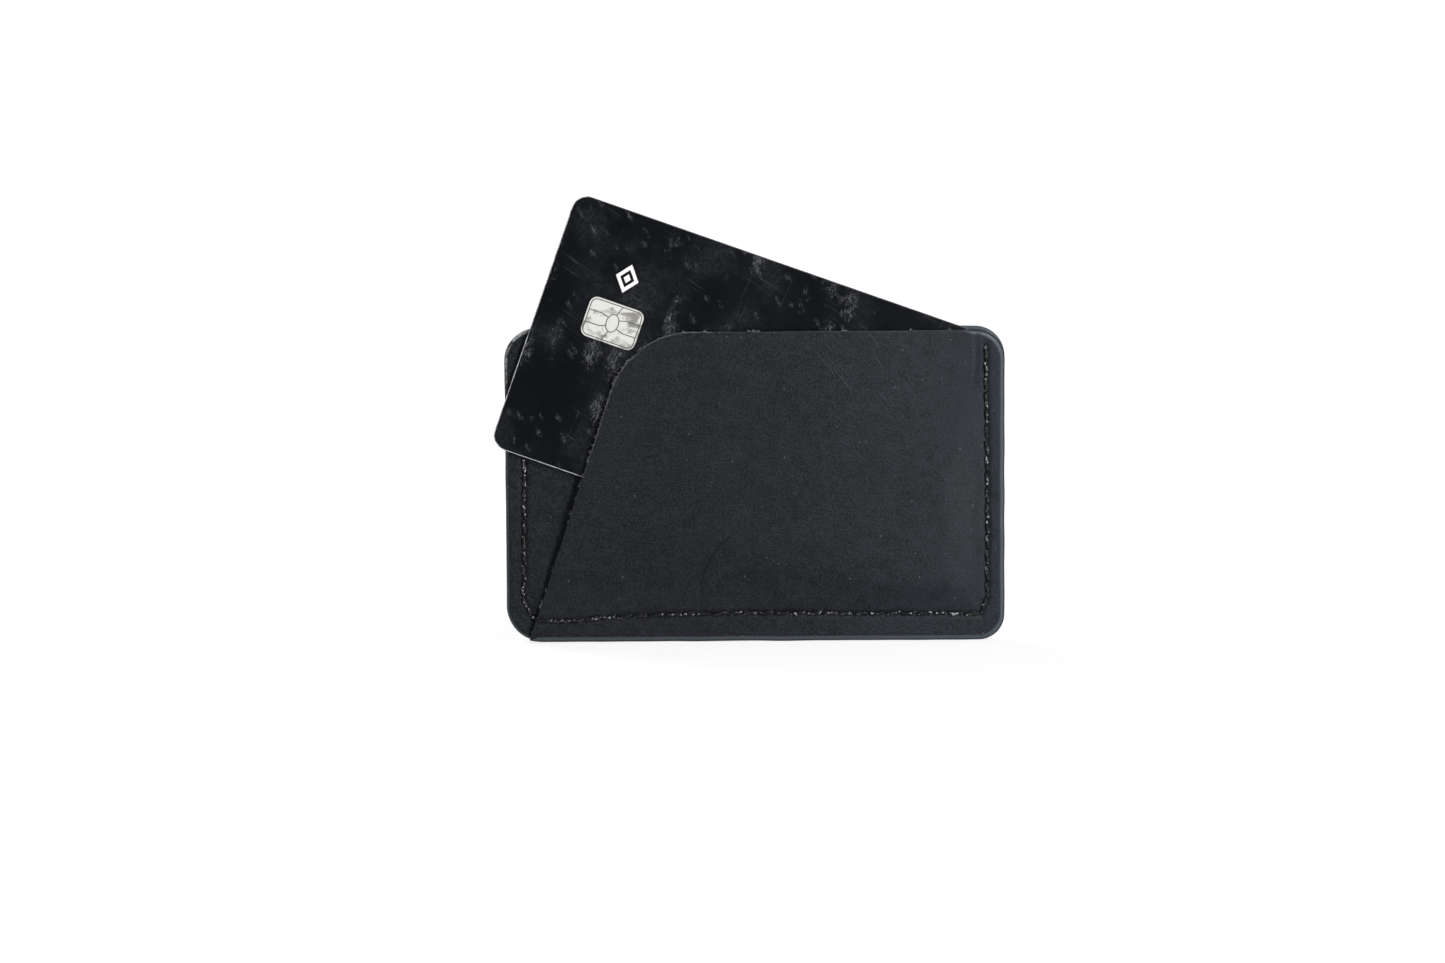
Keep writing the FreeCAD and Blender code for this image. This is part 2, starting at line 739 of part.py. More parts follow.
def make_chip_carrier():
    """The module's glass-epoxy tape with the potted chip behind it."""
    body = new_body("chip_carrier")
    tape_face = CARD_FACE + size("contact_proud") - size("contact_thickness")
    sketch = front_sketch(body, "tape_outline", tape_face)
    polygon(sketch, rectangle(CHIP_ACROSS, CHIP_UP, size("chip_length"), size("chip_height")))
    pad(body, "tape", sketch, size("tape_thickness"), True)
    round_module_corners(body, "tape", as_dim(0), size("chip_corner"))
    sketch = front_sketch(body, "globtop_outline", tape_face - size("tape_thickness"))
    polygon(sketch, rectangle(CHIP_ACROSS, CHIP_UP, GLOBTOP[0], GLOBTOP[1]))
    pad(body, "globtop", sketch, size("globtop_depth"), True)
    return body


def contact_plate(body, name, inset):
    """A square-cornered plate of the module's outline, moved inwards, in the contacts' layer."""
    sketch = front_sketch(body, f"{name}_outline", CARD_FACE + size("contact_proud"))
    length = size("chip_length") - inset * 2
    height = size("chip_height") - inset * 2
    polygon(sketch, rectangle(CHIP_ACROSS, CHIP_UP, length, height))
    pad(body, name, sketch, size("contact_thickness"), True)


def contact_line(body, name, corners):
    """One shape etched through the plating."""
    sketch = front_sketch(body, f"{name}_sketch", CARD_FACE + size("contact_proud"))
    polygon(sketch, corners)
    pocket(body, name, sketch, size("contact_thickness"))


def make_contact_rim():
    """The plated frame round the contact pads."""
    body = new_body("contact_rim")
    rim = size("contact_rim")
    contact_plate(body, "frame", as_dim(0))
    length = size("chip_length") - rim * 2
    height = size("chip_height") - rim * 2
    contact_line(body, "opening", rectangle(CHIP_ACROSS, CHIP_UP, length, height))
    round_module_corners(body, "opening", -rim, size("chip_corner") - rim)
    round_module_corners(body, "frame", as_dim(0), size("chip_corner"))
    return body


def make_chip_contacts():
    """The plated contact pads, parted from each other by thin etched lines."""
    body = new_body("chip_contacts")
    line = size("contact_groove")
    inset = size("contact_rim") + line
    contact_plate(body, "plate", inset)
    round_module_corners(body, "plate", -inset, size("chip_corner") - inset)

    sketch = front_sketch(body, "centre_line_sketch", CARD_FACE + size("contact_proud"))
    length = size("centre_pad_length")
    height = size("centre_pad_height")
    ellipse(sketch, CHIP_ACROSS, CHIP_UP, length + line * 2, height + line * 2)
    ellipse(sketch, CHIP_ACROSS, CHIP_UP, length, height)
    pocket(body, "centre_line", sketch, size("contact_thickness"))

    half_length = size("chip_length") / 2
    half_height = size("chip_height") / 2
    for side, sign in (("left", -1), ("right", 1)):
        inner_across = CHIP_ACROSS + size("side_line_inner_across") * sign
        knee_across = CHIP_ACROSS + size("side_line_knee") * sign
        outer_across = CHIP_ACROSS + half_length * sign
        for level, way in (("low", -1), ("high", 1)):
            knee = (knee_across, CHIP_UP + size("side_line_height") * way)
            inner = (inner_across, CHIP_UP + size("side_line_inner_height") * way)
            outer = (outer_across, CHIP_UP + size("side_line_height") * way)
            contact_line(body, f"{side}_{level}_line", level_strip(knee, outer, line))
            contact_line(body, f"{side}_{level}_bend", level_strip(inner, knee, line))
    for level, way in (("low", -1), ("high", 1)):
        inner_up = CHIP_UP + size("divider_inner_height") * way
        inner = (CHIP_ACROSS + size("divider_inner_across") * way, inner_up)
        outer = (CHIP_ACROSS + size("divider_outer_across") * way, CHIP_UP + half_height * way)
        contact_line(body, f"{level}_divider", slanted_strip(inner, outer, line))
    return body


def diamond(across, up, length, height):
    """Corners of a diamond standing on its point."""
    half_length = as_dim(length) / 2
    half_height = as_dim(height) / 2
    return [
        (across, up - half_height),
        (across + half_length, up),
        (across, up + half_height),
        (across - half_length, up),
    ]


def make_card_mark():
    """A plain diamond printed above the chip: an outline with a small solid one in it."""
    body = new_body("card_mark")
    across = CARD_LEFT + size("mark_from_left")
    up = CARD_TOP - size("mark_from_top")
    sketch = front_sketch(body, "outline", CARD_FACE)
    polygon(sketch, diamond(across, up, size("mark_width"), size("mark_height")))
    polygon(sketch, diamond(across, up, size("mark_inner_width"), size("mark_inner_height")))
    polygon(sketch, diamond(across, up, size("mark_centre_width"), size("mark_centre_height")))
    pad(body, "ink", sketch, size("film_thickness"))
    return body


def make_magnetic_stripe():
    """The stripe along the card's back, near its top edge."""
    body = new_body("magnetic_stripe")
    up = CARD_TOP - size("stripe_from_top") - size("stripe_height") / 2
    sketch = front_sketch(body, "outline", -CARD_FACE)
    length = size("card_length") - size("card_edge_rounding") * 2
    polygon(sketch, rectangle(0, up, length, size("stripe_height")))
    pad(body, "film", sketch, size("film_thickness"), True)
    return body


def make_card_inlay():
    """The inlay with the aerial's channel cut into its face."""
    inlay = document.addObject("Part::Cut", "card_inlay")
    inlay.Label = "card_inlay"
    inlay.Base = make_inlay_sheet()
    inlay.Tool = track_feature("aerial_channel")
    document.recompute()
    return inlay


leather_parts = [make_back_panel(), make_middle_panel(), make_front_panel(), make_seam_thread()]
card_parts = [
    make_card_front_sheet(),
    make_card_inlay(),
    make_card_back_sheet(),
    track_feature("card_antenna"),
    make_chip_carrier(),
    make_contact_rim(),
    make_chip_contacts(),
    make_card_mark(),
    make_magnetic_stripe(),
]
for piece in card_parts:
    lean_in_pocket(piece)
document.recompute()

for item in document.Objects:
    if "Invalid" in item.State or "Error" in item.State:
        raise RuntimeError(f"{item.Name} did not compute: {item.State}")

os.makedirs("parts", exist_ok=True)
for piece in leather_parts + card_parts:
    if piece.Shape.isNull() or not piece.Shape.isValid():
        raise RuntimeError(f"{piece.Label} has no valid shape")
    piece.Shape.exportStep(f"parts/{piece.Label}.step")
    print(piece.Label, len(piece.Shape.Solids), round(piece.Shape.Volume, 2))
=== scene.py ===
import math
import random

import bmesh
import bpy
import numpy as np
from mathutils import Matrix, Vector


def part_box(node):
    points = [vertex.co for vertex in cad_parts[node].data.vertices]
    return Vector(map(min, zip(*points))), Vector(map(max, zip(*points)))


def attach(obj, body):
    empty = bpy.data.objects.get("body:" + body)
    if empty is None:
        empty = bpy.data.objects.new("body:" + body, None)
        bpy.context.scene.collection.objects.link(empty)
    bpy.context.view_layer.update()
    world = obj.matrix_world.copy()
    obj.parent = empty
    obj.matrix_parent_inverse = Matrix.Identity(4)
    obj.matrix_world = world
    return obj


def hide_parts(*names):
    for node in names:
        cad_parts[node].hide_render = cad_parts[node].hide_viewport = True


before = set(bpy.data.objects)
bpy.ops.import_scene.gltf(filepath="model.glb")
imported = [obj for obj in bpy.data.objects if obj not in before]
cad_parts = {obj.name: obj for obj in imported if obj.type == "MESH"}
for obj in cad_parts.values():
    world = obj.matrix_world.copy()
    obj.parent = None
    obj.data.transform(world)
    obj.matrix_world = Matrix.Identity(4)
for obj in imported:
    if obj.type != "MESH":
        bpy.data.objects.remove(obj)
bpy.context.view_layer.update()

MM = 0.001

# ---------------------------------------------------------------- sizes, in millimetres, from the frame


def node_box(node):
    """A CAD node's lowest and highest corner, in millimetres."""
    low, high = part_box(node)
    return np.array(low) / MM, np.array(high) / MM


MIDDLE_LOW, MIDDLE_HIGH = node_box("middle_panel")
HALF_WIDTH = MIDDLE_HIGH[0]
HEIGHT = MIDDLE_HIGH[2]
FRONT_HEIGHT = node_box("front_panel")[1][2]
LEATHER = MIDDLE_HIGH[1] - MIDDLE_LOW[1]
MIDDLE_FACE = MIDDLE_LOW[1]
LAYER_GAP = 0.02

# outline corners: bottom left, bottom right, top right, top left
CORNER_RADII = (7.4, 5.2, 6.0, 6.5)
SLANT_TOP = -25.1
SLANT_FOOT = -46.0
SHOULDER_RADIUS = 17.6
TIP_RADIUS = 0.25

# where the bends beside the seams begin
SEAM_INNER_X = 45.9
SEAM_INNER_Z = 6.1

# the front panel's stand-off, the width of its bend at the right (narrower towards the top), and
# the height of its bend at the bottom (taller towards the left)
POCKET_GAP = 1.05
RIGHT_BEND = 8.0
RIGHT_BEND_NARROWING = 6.1
NARROWING_FROM = 30
NARROWING_HEIGHT = 28
FLOOR_BEND = 6.3
FLOOR_BEND_GROWTH = 0.27
FLOOR_BEND_STEADY_FROM = 26

# the front panel's further bow, which grows away from its seams and from its slanted edge
BOW = 0.55
BOW_WIDTH = 30
BOW_HEIGHT = 16
BOW_SLANT_START = 4
BOW_SLANT_WIDTH = 20

# the main pocket's stand-off, and the width and height of its bends
MAIN_GAP = 0.75
MAIN_BEND_WIDTH = 13
MAIN_BEND_HEIGHT = 16

# the card, as it leans in the front pocket
CARD_LENGTH = 85.6
CARD_HEIGHT = 53.98
CARD_CORNER = 3.18
CARD_TILT = math.radians(19.6)
CARD_CENTRE = (-4.1, -1.43, 51.45)
CARD_FACE_DEPTH = node_box("card_front_sheet")[0][1]
CARD_BEAD = 0.1


# ---------------------------------------------------------------- small helpers


def smooth(t):
    """Smooth step from 0 to 1."""
    t = np.clip(t, 0.0, 1.0)
    return t * t * (3 - 2 * t)


def fade(value, start, end):
    """Smooth step from 0 at the start to 1 at the end."""
    return smooth((value - start) / (end - start))


def waves(x, z, seed, wavelength, count=9):
    """Smooth pseudo-random relief between about -1 and 1, with the given wavelength."""
    source = random.Random(seed)
    total = np.zeros_like(np.asarray(x, float))
    for _ in range(count):
        angle = source.uniform(0, math.pi)
        length = wavelength * source.uniform(0.6, 1.7)
        phase = source.uniform(0, 2 * math.pi)
        across = np.asarray(x) * math.cos(angle) + np.asarray(z) * math.sin(angle)
        total += np.sin(across * 2 * math.pi / length + phase)
    return total / math.sqrt(count * 2)


def segment_distance(x, z, start, end):
    """Distance from points to a line segment."""
    start, end = np.array(start, float), np.array(end, float)
    along = end - start
    t = ((x - start[0]) * along[0] + (z - start[1]) * along[1]) / max(float(along @ along), 1e-9)
    t = np.clip(t, 0, 1)
    return np.hypot(x - start[0] - t * along[0], z - start[1] - t * along[1])


def mesh_object(name, vertices, faces):
    """A smooth-shaded mesh object from points in millimetres."""
    mesh = bpy.data.meshes.new(name)
    mesh.from_pydata([tuple(v) for v in np.asarray(vertices) * MM], [], faces)
    mesh.update()
    mesh.polygons.foreach_set("use_smooth", [True] * len(mesh.polygons))
    item = bpy.data.objects.new(name, mesh)
    bpy.context.scene.collection.objects.link(item)
    return item


def grid_faces(rows, columns):
    """Quads over a rows x columns grid of points whose columns close into a ring."""
    faces = []
    for row in range(rows - 1):
        for column in range(columns):
            following = (column + 1) % columns
            low, high = row * columns, (row + 1) * columns
            faces.append((low + column, low + following, high + following, high + column))
    return faces


def capped_tube(rings, sides):
    """The faces of a tube of rings of points, closed at both ends."""
    faces = grid_faces(rings, sides)
    faces.append(tuple(range(sides)))
    faces.append(tuple(reversed(range((rings - 1) * sides, rings * sides))))
    return faces


def append_part(vertices, faces, part):
    """Add a part's points and faces to the lists of a larger mesh."""
    points, quads = part
    faces += [tuple(corner + len(vertices) for corner in face) for face in quads]
    vertices += points


def set_weights(item, name, weights):
    """Store one number for each point, for the material to read."""
    attribute = item.data.attributes.new(name, "FLOAT", "POINT")
    attribute.data.foreach_set("value", np.concatenate(weights).astype(np.float32))


# ---------------------------------------------------------------- outlines

FEWEST_ARC_STEPS = 6


def rounded_outline(corners, step):
    """Points and outward normals along a convex outline of (x, z, radius) corners, anticlockwise."""
    arcs = []
    count = len(corners)
    for index, (x, z, radius) in enumerate(corners):
        here = np.array([x, z], float)
        into = here - np.array(corners[index - 1][:2], float)
        out = np.array(corners[(index + 1) % count][:2], float) - here
        into /= np.linalg.norm(into)
        out /= np.linalg.norm(out)
        turn = math.atan2(into[0] * out[1] - into[1] * out[0], float(into @ out))
        start = here - into * radius * math.tan(turn / 2)
        normal = np.array([into[1], -into[0]])
        centre = start - normal * radius
        steps = max(int(radius * turn / step), FEWEST_ARC_STEPS)
        arc = []
        for k in range(steps + 1):
            angle = turn * k / steps
            cosine, sine = math.cos(angle), math.sin(angle)
            across = normal[0] * cosine - normal[1] * sine
            turned = np.array([across, normal[0] * sine + normal[1] * cosine])
            arc.append((centre + turned * radius, turned))
        arcs.append(arc)
    points, normals = [], []
    for index, arc in enumerate(arcs):
        points += [point for point, _ in arc]
        normals += [normal for _, normal in arc]
        start, normal = arc[-1]
        end = arcs[(index + 1) % count][0][0]
        steps = max(int(np.linalg.norm(end - start) / step), 1)
        for k in range(1, steps):
            points.append(start + (end - start) * k / steps)
            normals.append(normal)
    return np.array(points), np.array(normals)


def slant_at(up):
    """Where the front panel's slanted edge is at a height."""
    return SLANT_FOOT + (SLANT_TOP - SLANT_FOOT) * up / FRONT_HEIGHT


def slant_tip():
    """Where the slanted edge meets the holder's bottom left corner arc, and the arc's tangent there."""
    radius = CORNER_RADII[0]
    centre = np.array([-HALF_WIDTH + radius, radius])
    foot = np.array([SLANT_FOOT, 0.0])
    along = np.array([SLANT_TOP - SLANT_FOOT, FRONT_HEIGHT])
    along /= np.linalg.norm(along)
    offset = foot - centre
    middle = float(along @ offset)
    reach = math.sqrt(middle * middle - float(offset @ offset) + radius * radius)
    tip = foot + along * (-middle - reach)
    tangent_foot = tip[0] + tip[1] * (radius - tip[1]) / (centre[0] - tip[0])
    return tip, tangent_foot


def full_outline():
    """The outline of the middle and back panels."""
    bottom_left, bottom_right, top_right, top_left = CORNER_RADII
    return [
        (-HALF_WIDTH, 0, bottom_left),
        (HALF_WIDTH, 0, bottom_right),
        (HALF_WIDTH, HEIGHT, top_right),
        (-HALF_WIDTH, HEIGHT, top_left),
    ]


def front_outline():
    """The front panel's outline: its slanted edge runs down into the bottom left corner arc."""
    tip, tangent_foot = slant_tip()
    return [
        (tangent_foot, 0, CORNER_RADII[0]),
        (HALF_WIDTH, 0, CORNER_RADII[1]),
        (HALF_WIDTH, FRONT_HEIGHT, CORNER_RADII[2]),
        (SLANT_TOP, FRONT_HEIGHT, SHOULDER_RADIUS),
        (tip[0], tip[1], TIP_RADIUS),
    ]


# ---------------------------------------------------------------- the seam

# the stitch line as it was pricked by hand, from the top of the left side round to the top of the right
LEFT_LINE = [(-46.7, 59.2), (-46.65, 40.0), (-46.75, 20.0), (-46.9, 12.6), (-47.3, 9.6)]
LEFT_TURN = (-45.5, 5.3)
BOTTOM_LINE = [(-44.1, 4.7), (-40.0, 4.3), (-34.0, 4.8), (-29.0, 5.3), (-19.0, 5.6), (-1.4, 5.95),
               (29.0, 5.65), (45.4, 5.5)]
RIGHT_LINE = [(46.9, 8.9), (46.85, 30.0), (46.6, 59.9)]
STITCH_PITCH = 3.2
HOLE_JITTER = 0.07


def spaced(line, pitch):
    """Points spaced evenly along a polyline, near the given pitch."""
    points = np.array(line, float)
    lengths = np.hypot(*np.diff(points, axis=0).T)
    travel = np.concatenate([[0], np.cumsum(lengths)])
    count = max(int(round(travel[-1] / pitch)), 1)
    stops = np.linspace(0, travel[-1], count + 1)
    across, up = np.interp(stops, travel, points[:, 0]), np.interp(stops, travel, points[:, 1])
    return [(float(x), float(z)) for x, z in zip(across, up)]


def seam_holes():
    """Every awl hole in order round the seam, each shifted a little as a hand does."""
    holes = spaced(LEFT_LINE, STITCH_PITCH) + [LEFT_TURN]
    holes += spaced(BOTTOM_LINE, STITCH_PITCH) + spaced(RIGHT_LINE, STITCH_PITCH)
    source = random.Random(11)

    def shift():
        return source.uniform(-HOLE_JITTER, HOLE_JITTER)

    return [(x + shift(), z + shift()) for x, z in holes]


HOLES = seam_holes()
STITCHES = list(zip(HOLES, HOLES[1:]))


# how deep the thread sinks the leather, and how wide the trough and the pit at each hole are
STITCH_DENT = 0.42
TROUGH_SHARE = 0.7
TROUGH_WIDTH = 0.62
PIT_WIDTH = 0.5
# beyond these distances from the side and bottom edges no stitch is near
SEAM_REACH_X = 6.5
SEAM_REACH_Z = 8.5


def stitch_dent(x, z):
    """How far the pulled thread sinks the leather's face at each point."""
    trough = np.zeros_like(x)
    near = (np.abs(x) > HALF_WIDTH - SEAM_REACH_X) | (z < SEAM_REACH_Z)
    px, pz = x[near], z[near]
    local = np.zeros_like(px)
    for start, end in STITCHES:
        away = segment_distance(px, pz, start, end)
        local = np.maximum(local, TROUGH_SHARE * np.exp(-(away / TROUGH_WIDTH) ** 2))
    for hx, hz in HOLES:
        local = np.maximum(local, np.exp(-(np.hypot(px - hx, pz - hz) / PIT_WIDTH) ** 2))
    trough[near] = local
    return trough * STITCH_DENT


# ---------------------------------------------------------------- where the leather's faces lie

# heights of the faces' unevenness, and the finer ripple's wavelength
SWELL = 0.05
RIPPLE = 0.015
RIPPLE_LENGTH = 6
MARGIN_SWELL = 0.02


def front_gap(x, z):
    """How far the front panel stands off the middle one, spread by the card."""
    near_top = smooth((z - NARROWING_FROM) / NARROWING_HEIGHT)
    width = RIGHT_BEND - RIGHT_BEND_NARROWING * near_top
    from_right = (SEAM_INNER_X - x) / width
    rise = FLOOR_BEND + FLOOR_BEND_GROWTH * np.clip(FLOOR_BEND_STEADY_FROM - x, 0, None)
    from_floor = (z - SEAM_INNER_Z) / rise
    bow = BOW * smooth((SEAM_INNER_X - x) / BOW_WIDTH) * smooth((z - SEAM_INNER_Z) / BOW_HEIGHT)
    from_slant = (x - slant_at(z) - BOW_SLANT_START) / BOW_SLANT_WIDTH
    return POCKET_GAP * smooth(from_right) * smooth(from_floor) + bow * smooth(from_slant)


def main_gap(x, z):
    """How far the back panel stands off the middle one."""
    from_side = (SEAM_INNER_X - np.abs(x)) / MAIN_BEND_WIDTH
    from_floor = (z - SEAM_INNER_Z) / MAIN_BEND_HEIGHT
    return MAIN_GAP * smooth(from_side) * smooth(from_floor)


# the curved crease low on the front panel: its top, its run down to the left, depth and width
CREASE_TOP_X = -4.0
CREASE_TOP_Z = 22.6
CREASE_ACROSS = 7.2
CREASE_DOWN = 13.1
CREASE_DEPTH = 0.07
CREASE_WIDTH = 0.28
# the short wrinkles near the slanted edge: level, left end, right end and sway of each
WRINKLES = ((23.3, -33, -12, 0.5), (21.9, -31, -16, 0.35), (20.6, -28, -8, 0.4), (19.1, -30, -20, 0.3))
WRINKLE_DEPTH = 0.022
WRINKLE_WIDTH = 0.2


def crease_relief(x, z):
    """The fine creases that use has left in the front panel."""
    depth = np.zeros_like(x)
    bend = CREASE_TOP_X - CREASE_ACROSS * np.clip((CREASE_TOP_Z - z) / CREASE_DOWN, 0, 1) ** 0.8
    inside = fade(z, 8.5, 11.5) * fade(z, CREASE_TOP_Z + 1, CREASE_TOP_Z - 2)
    depth += CREASE_DEPTH * inside * np.exp(-((x - bend) / CREASE_WIDTH) ** 2)
    for level, start, end, sway in WRINKLES:
        line = level + sway * np.sin(x * 0.55 + level)
        inside = fade(x, start, start + 4) * fade(x, end, end - 4)
        depth += WRINKLE_DEPTH * inside * np.exp(-((z - line) / WRINKLE_WIDTH) ** 2)
    return depth


def unevenness(x, z, seed, wavelength):
    """How a leather face is not quite flat: a slow swell and a finer ripple."""
    return SWELL * waves(x, z, seed, wavelength) + RIPPLE * waves(x, z, seed + 1, RIPPLE_LENGTH)


def front_inner(x, z):
    return MIDDLE_FACE - LAYER_GAP - front_gap(x, z)


def front_outer(x, z):
    return front_inner(x, z) - LEATHER + unevenness(x, z, 3, 26) + crease_relief(x, z) + stitch_dent(x, z)


def middle_front(x, z):
    """Flat under the front panel, and uneven only where it shows beside the slanted edge."""
    covered = fade(x - slant_at(z), 0.5, 2.0)
    return MIDDLE_FACE + (1 - covered) * (MARGIN_SWELL * waves(x, z, 5, 9) + stitch_dent(x, z))


def middle_back(x, z):
    return np.full_like(x, MIDDLE_FACE + LEATHER)


def back_inner(x, z):
    return MIDDLE_FACE + LEATHER + LAYER_GAP + main_gap(x, z)


def back_outer(x, z):
    return back_inner(x, z) + LEATHER + unevenness(x, z, 6, 30) - stitch_dent(x, z)


# ---------------------------------------------------------------- leather panels

OUTLINE_STEP = 0.45
# how far each step of the edge's rounding was burnished and painted with a light edge highlight: all of
# it, or only its upper part
FULL_POLISH_AND_HIGHLIGHT = (0.0, 0.5, 1.0, 1.0, 1.0, 1.0, 1.0, 1.0)
UPPER_POLISH_AND_HIGHLIGHT = (0.2, 0.8, 1.0, 0.9, 0.3, 0.0, 0.0, 0.0)
EDGE_ARC_STEPS = len(FULL_POLISH_AND_HIGHLIGHT) - 1

# the hand-cut outline wanders a little, just inside the drawn one
OUTLINE_WANDER = 0.05
OUTLINE_WANDER_LENGTH = 14
OUTLINE_TRIM = 0.06

# rings of points: parallel to the outline for a few millimetres, then shrinking to the middle line
STRAIGHT_INSET = 4.5
STRAIGHT_RINGS = 12
MIDDLE_STEPS = 30
CORE_STEPS = 3
CORE_RINGS = 9
# near a sharp corner the parallel rings keep this close to the outline, so that they don't cross
CORNER_REACH = 0.15
CORNER_REACH_GROWTH = 0.9
ROUNDING_SHARE = 0.8

# a raw cut is not burnished, and takes less of the painted edge highlight
RAW_DULLING = 1.6
MOST_DULLED = 0.85


def panel(name, corners, front_face, back_face, front_round, back_round, spine, seed, raw, polish_and_highlight):
    """One leather panel: rings from the middle of its front face, over its rounded edge, to its back."""
    points, normals = rounded_outline(corners, OUTLINE_STEP)
    count = len(points)
    total, difference = points[:, 0] + points[:, 1], points[:, 0] - points[:, 1]
    wander = OUTLINE_WANDER * waves(total, difference, seed, OUTLINE_WANDER_LENGTH)
    points = points + normals * (wander - OUTLINE_TRIM)[:, None]
    points[:, 1] = np.maximum(points[:, 1], 0.0)
    reach = np.full(count, STRAIGHT_INSET)
    for x, z, radius in corners:
        if radius < STRAIGHT_INSET:
            away = np.hypot(points[:, 0] - x, points[:, 1] - z)
            reach = np.minimum(reach, CORNER_REACH + CORNER_REACH_GROWTH * away)
    front_radius = np.minimum(front_round(points), reach * ROUNDING_SHARE)
    back_radius = np.minimum(back_round(points), reach * ROUNDING_SHARE)
    left, right, level = spine
    spine_points = np.stack([np.clip(points[:, 0], left, right), np.full(count, level)], axis=1)

    def at_inset(inset):
        return points - normals * np.asarray(inset).reshape(-1, 1)

    def inner_ring(share):
        start = at_inset(reach)
        return start + (spine_points - start) * share

    core = CORE_STEPS / MIDDLE_STEPS
    shares = [1 - k / MIDDLE_STEPS for k in range(MIDDLE_STEPS - CORE_STEPS)]
    shares += [core * (1 - k / CORE_RINGS) for k in range(CORE_RINGS)]
    rings = [(inner_ring(share), 0.0, 0.0) for share in shares]
    for inset_share in np.linspace(1, 0, STRAIGHT_RINGS + 1)[:-1]:
        inset = front_radius + (reach - front_radius) * inset_share
        rings.append((at_inset(inset), 0.0, 0.0))
    for k in range(EDGE_ARC_STEPS + 1):
        angle = math.pi / 2 * k / EDGE_ARC_STEPS
        inset = front_radius * (1 - math.sin(angle))
        rings.append((at_inset(inset), front_radius * (1 - math.cos(angle)), polish_and_highlight[k]))
    for k in range(EDGE_ARC_STEPS + 1):
        angle = math.pi / 2 * (1 - k / EDGE_ARC_STEPS)
        inset = back_radius * (1 - math.sin(angle))
        depth = LEATHER - back_radius * (1 - math.cos(angle))
        rings.append((at_inset(inset), depth, FULL_POLISH_AND_HIGHLIGHT[EDGE_ARC_STEPS - k]))
    for inset_share in np.linspace(0, 1, STRAIGHT_RINGS + 1)[1:]:
        inset = back_radius + (reach - back_radius) * inset_share
        rings.append((at_inset(inset), LEATHER, 0.0))
    rings += [(inner_ring(share), LEATHER, 0.0) for share in reversed(shares)]

    vertices, burnish_and_highlight_weights, raw_and_highlight_weights = [], [], []
    rawness_and_highlight = raw(points)
    kept_burnish_and_highlight = 1 - np.minimum(rawness_and_highlight * RAW_DULLING, MOST_DULLED)
    for plane, depth, edge in rings:
        x, z = plane[:, 0], plane[:, 1]
        share = np.broadcast_to(np.asarray(depth, float) / LEATHER, (count,))
        front, back = front_face(x, z), back_face(x, z)
        y = front + (back - front) * share
        vertices.append(np.stack([x, y, np.maximum(z, 0)], axis=1))
        burnish_and_highlight_weights.append(edge * kept_burnish_and_highlight)
        raw_and_highlight_weights.append(edge * rawness_and_highlight)
    item = mesh_object(name, np.concatenate(vertices), grid_faces(len(rings), count))
    set_weights(item, "burnish_and_highlight", burnish_and_highlight_weights)
    set_weights(item, "raw", raw_and_highlight_weights)
    weld(item)
    return item


WELD_DISTANCE = 0.0005


def weld(item):
    """Join the points that meet, and face everything outwards."""
    work = bmesh.new()
    work.from_mesh(item.data)
    bmesh.ops.remove_doubles(work, verts=work.verts, dist=WELD_DISTANCE * MM)
    bmesh.ops.recalc_face_normals(work, faces=work.faces)
    work.to_mesh(item.data)
    work.free()
    item.data.polygons.foreach_set("use_smooth", [True] * len(item.data.polygons))
    item.data.update()


def free_edge(points):
    """1 on the front panel's slanted and top edges, 0 on its stitched edges."""
    x, z = points[:, 0], points[:, 1]
    slanted = fade(x - slant_at(z), 3.5, 1.5) * fade(z, 0.3, 1.5)
    top = fade(z, FRONT_HEIGHT - 6, FRONT_HEIGHT - 2) * fade(x, 44.5, 41.5)
    return np.maximum(slanted, top)


# how pale the cut edges are: partly the leather's fibres, partly a painted highlight, brightest round the
# shoulder
EDGE_RAWNESS = 0.32
SHOULDER_RAWNESS_AND_HIGHLIGHT = 0.43
CORNER_SIDE_RAWNESS = 0.12


def cut_edge(points):
    """How raw the cut looks along the front panel's free edges: most round the shoulder. The pale colour
    is partly the leather's fibres and partly a painted highlight along the thin edge.
    """
    x, z = points[:, 0], points[:, 1]
    shoulder = fade(z, 30, 42) * fade(x, -4, -12)
    return free_edge(points) * (EDGE_RAWNESS + SHOULDER_RAWNESS_AND_HIGHLIGHT * shoulder)


def worn_corner(points):
    """1 where the middle panel's top left corner is rubbed raw, fading down its left side; its pale colour
    is partly wear and partly a painted highlight along the edge.
    """
    x, z = points[:, 0], points[:, 1]
    near_top = fade(z, 46, 56)
    return fade(x, -38, -44) * (CORNER_SIDE_RAWNESS + (1 - CORNER_SIDE_RAWNESS) * near_top)


def not_raw(points):
    return np.zeros(len(points))


# edge roundings, in millimetres
STITCHED_ROUNDING = 1.0
BOTTOM_EXTRA_ROUNDING = 0.3
FREE_EDGE_SHARPNESS = 0.75
MARGIN_ROUNDING = 0.85
HIDDEN_ROUNDING = 0.25
BACK_ROUNDING = 0.95
INNER_ROUNDING = 0.2
FRONT_INNER_ROUNDING = 0.18


def steady(radius):
    """The same rounding all the way round."""
    return lambda points: np.full(len(points), radius)


def front_panel_rounding(points):
    """Generous on the stitched edges, most at the bottom, and small on the free edges."""
    rounding = STITCHED_ROUNDING + BOTTOM_EXTRA_ROUNDING * fade(points[:, 1], 6, 2)
    return rounding * (1 - FREE_EDGE_SHARPNESS * free_edge(points))


def middle_panel_rounding(points):
    """Round where the panel's margin shows, and nearly square where the front panel covers it."""
    x, z = points[:, 0], points[:, 1]
    hidden = fade(x - slant_at(z), 2, 5) * fade(z, 60, 57)
    return MARGIN_ROUNDING - (MARGIN_ROUNDING - HIDDEN_ROUNDING) * hidden


# ---------------------------------------------------------------- thread

STITCH_RADIUS = 0.37
STITCH_RINGS = 40
STITCH_SIDES = 12
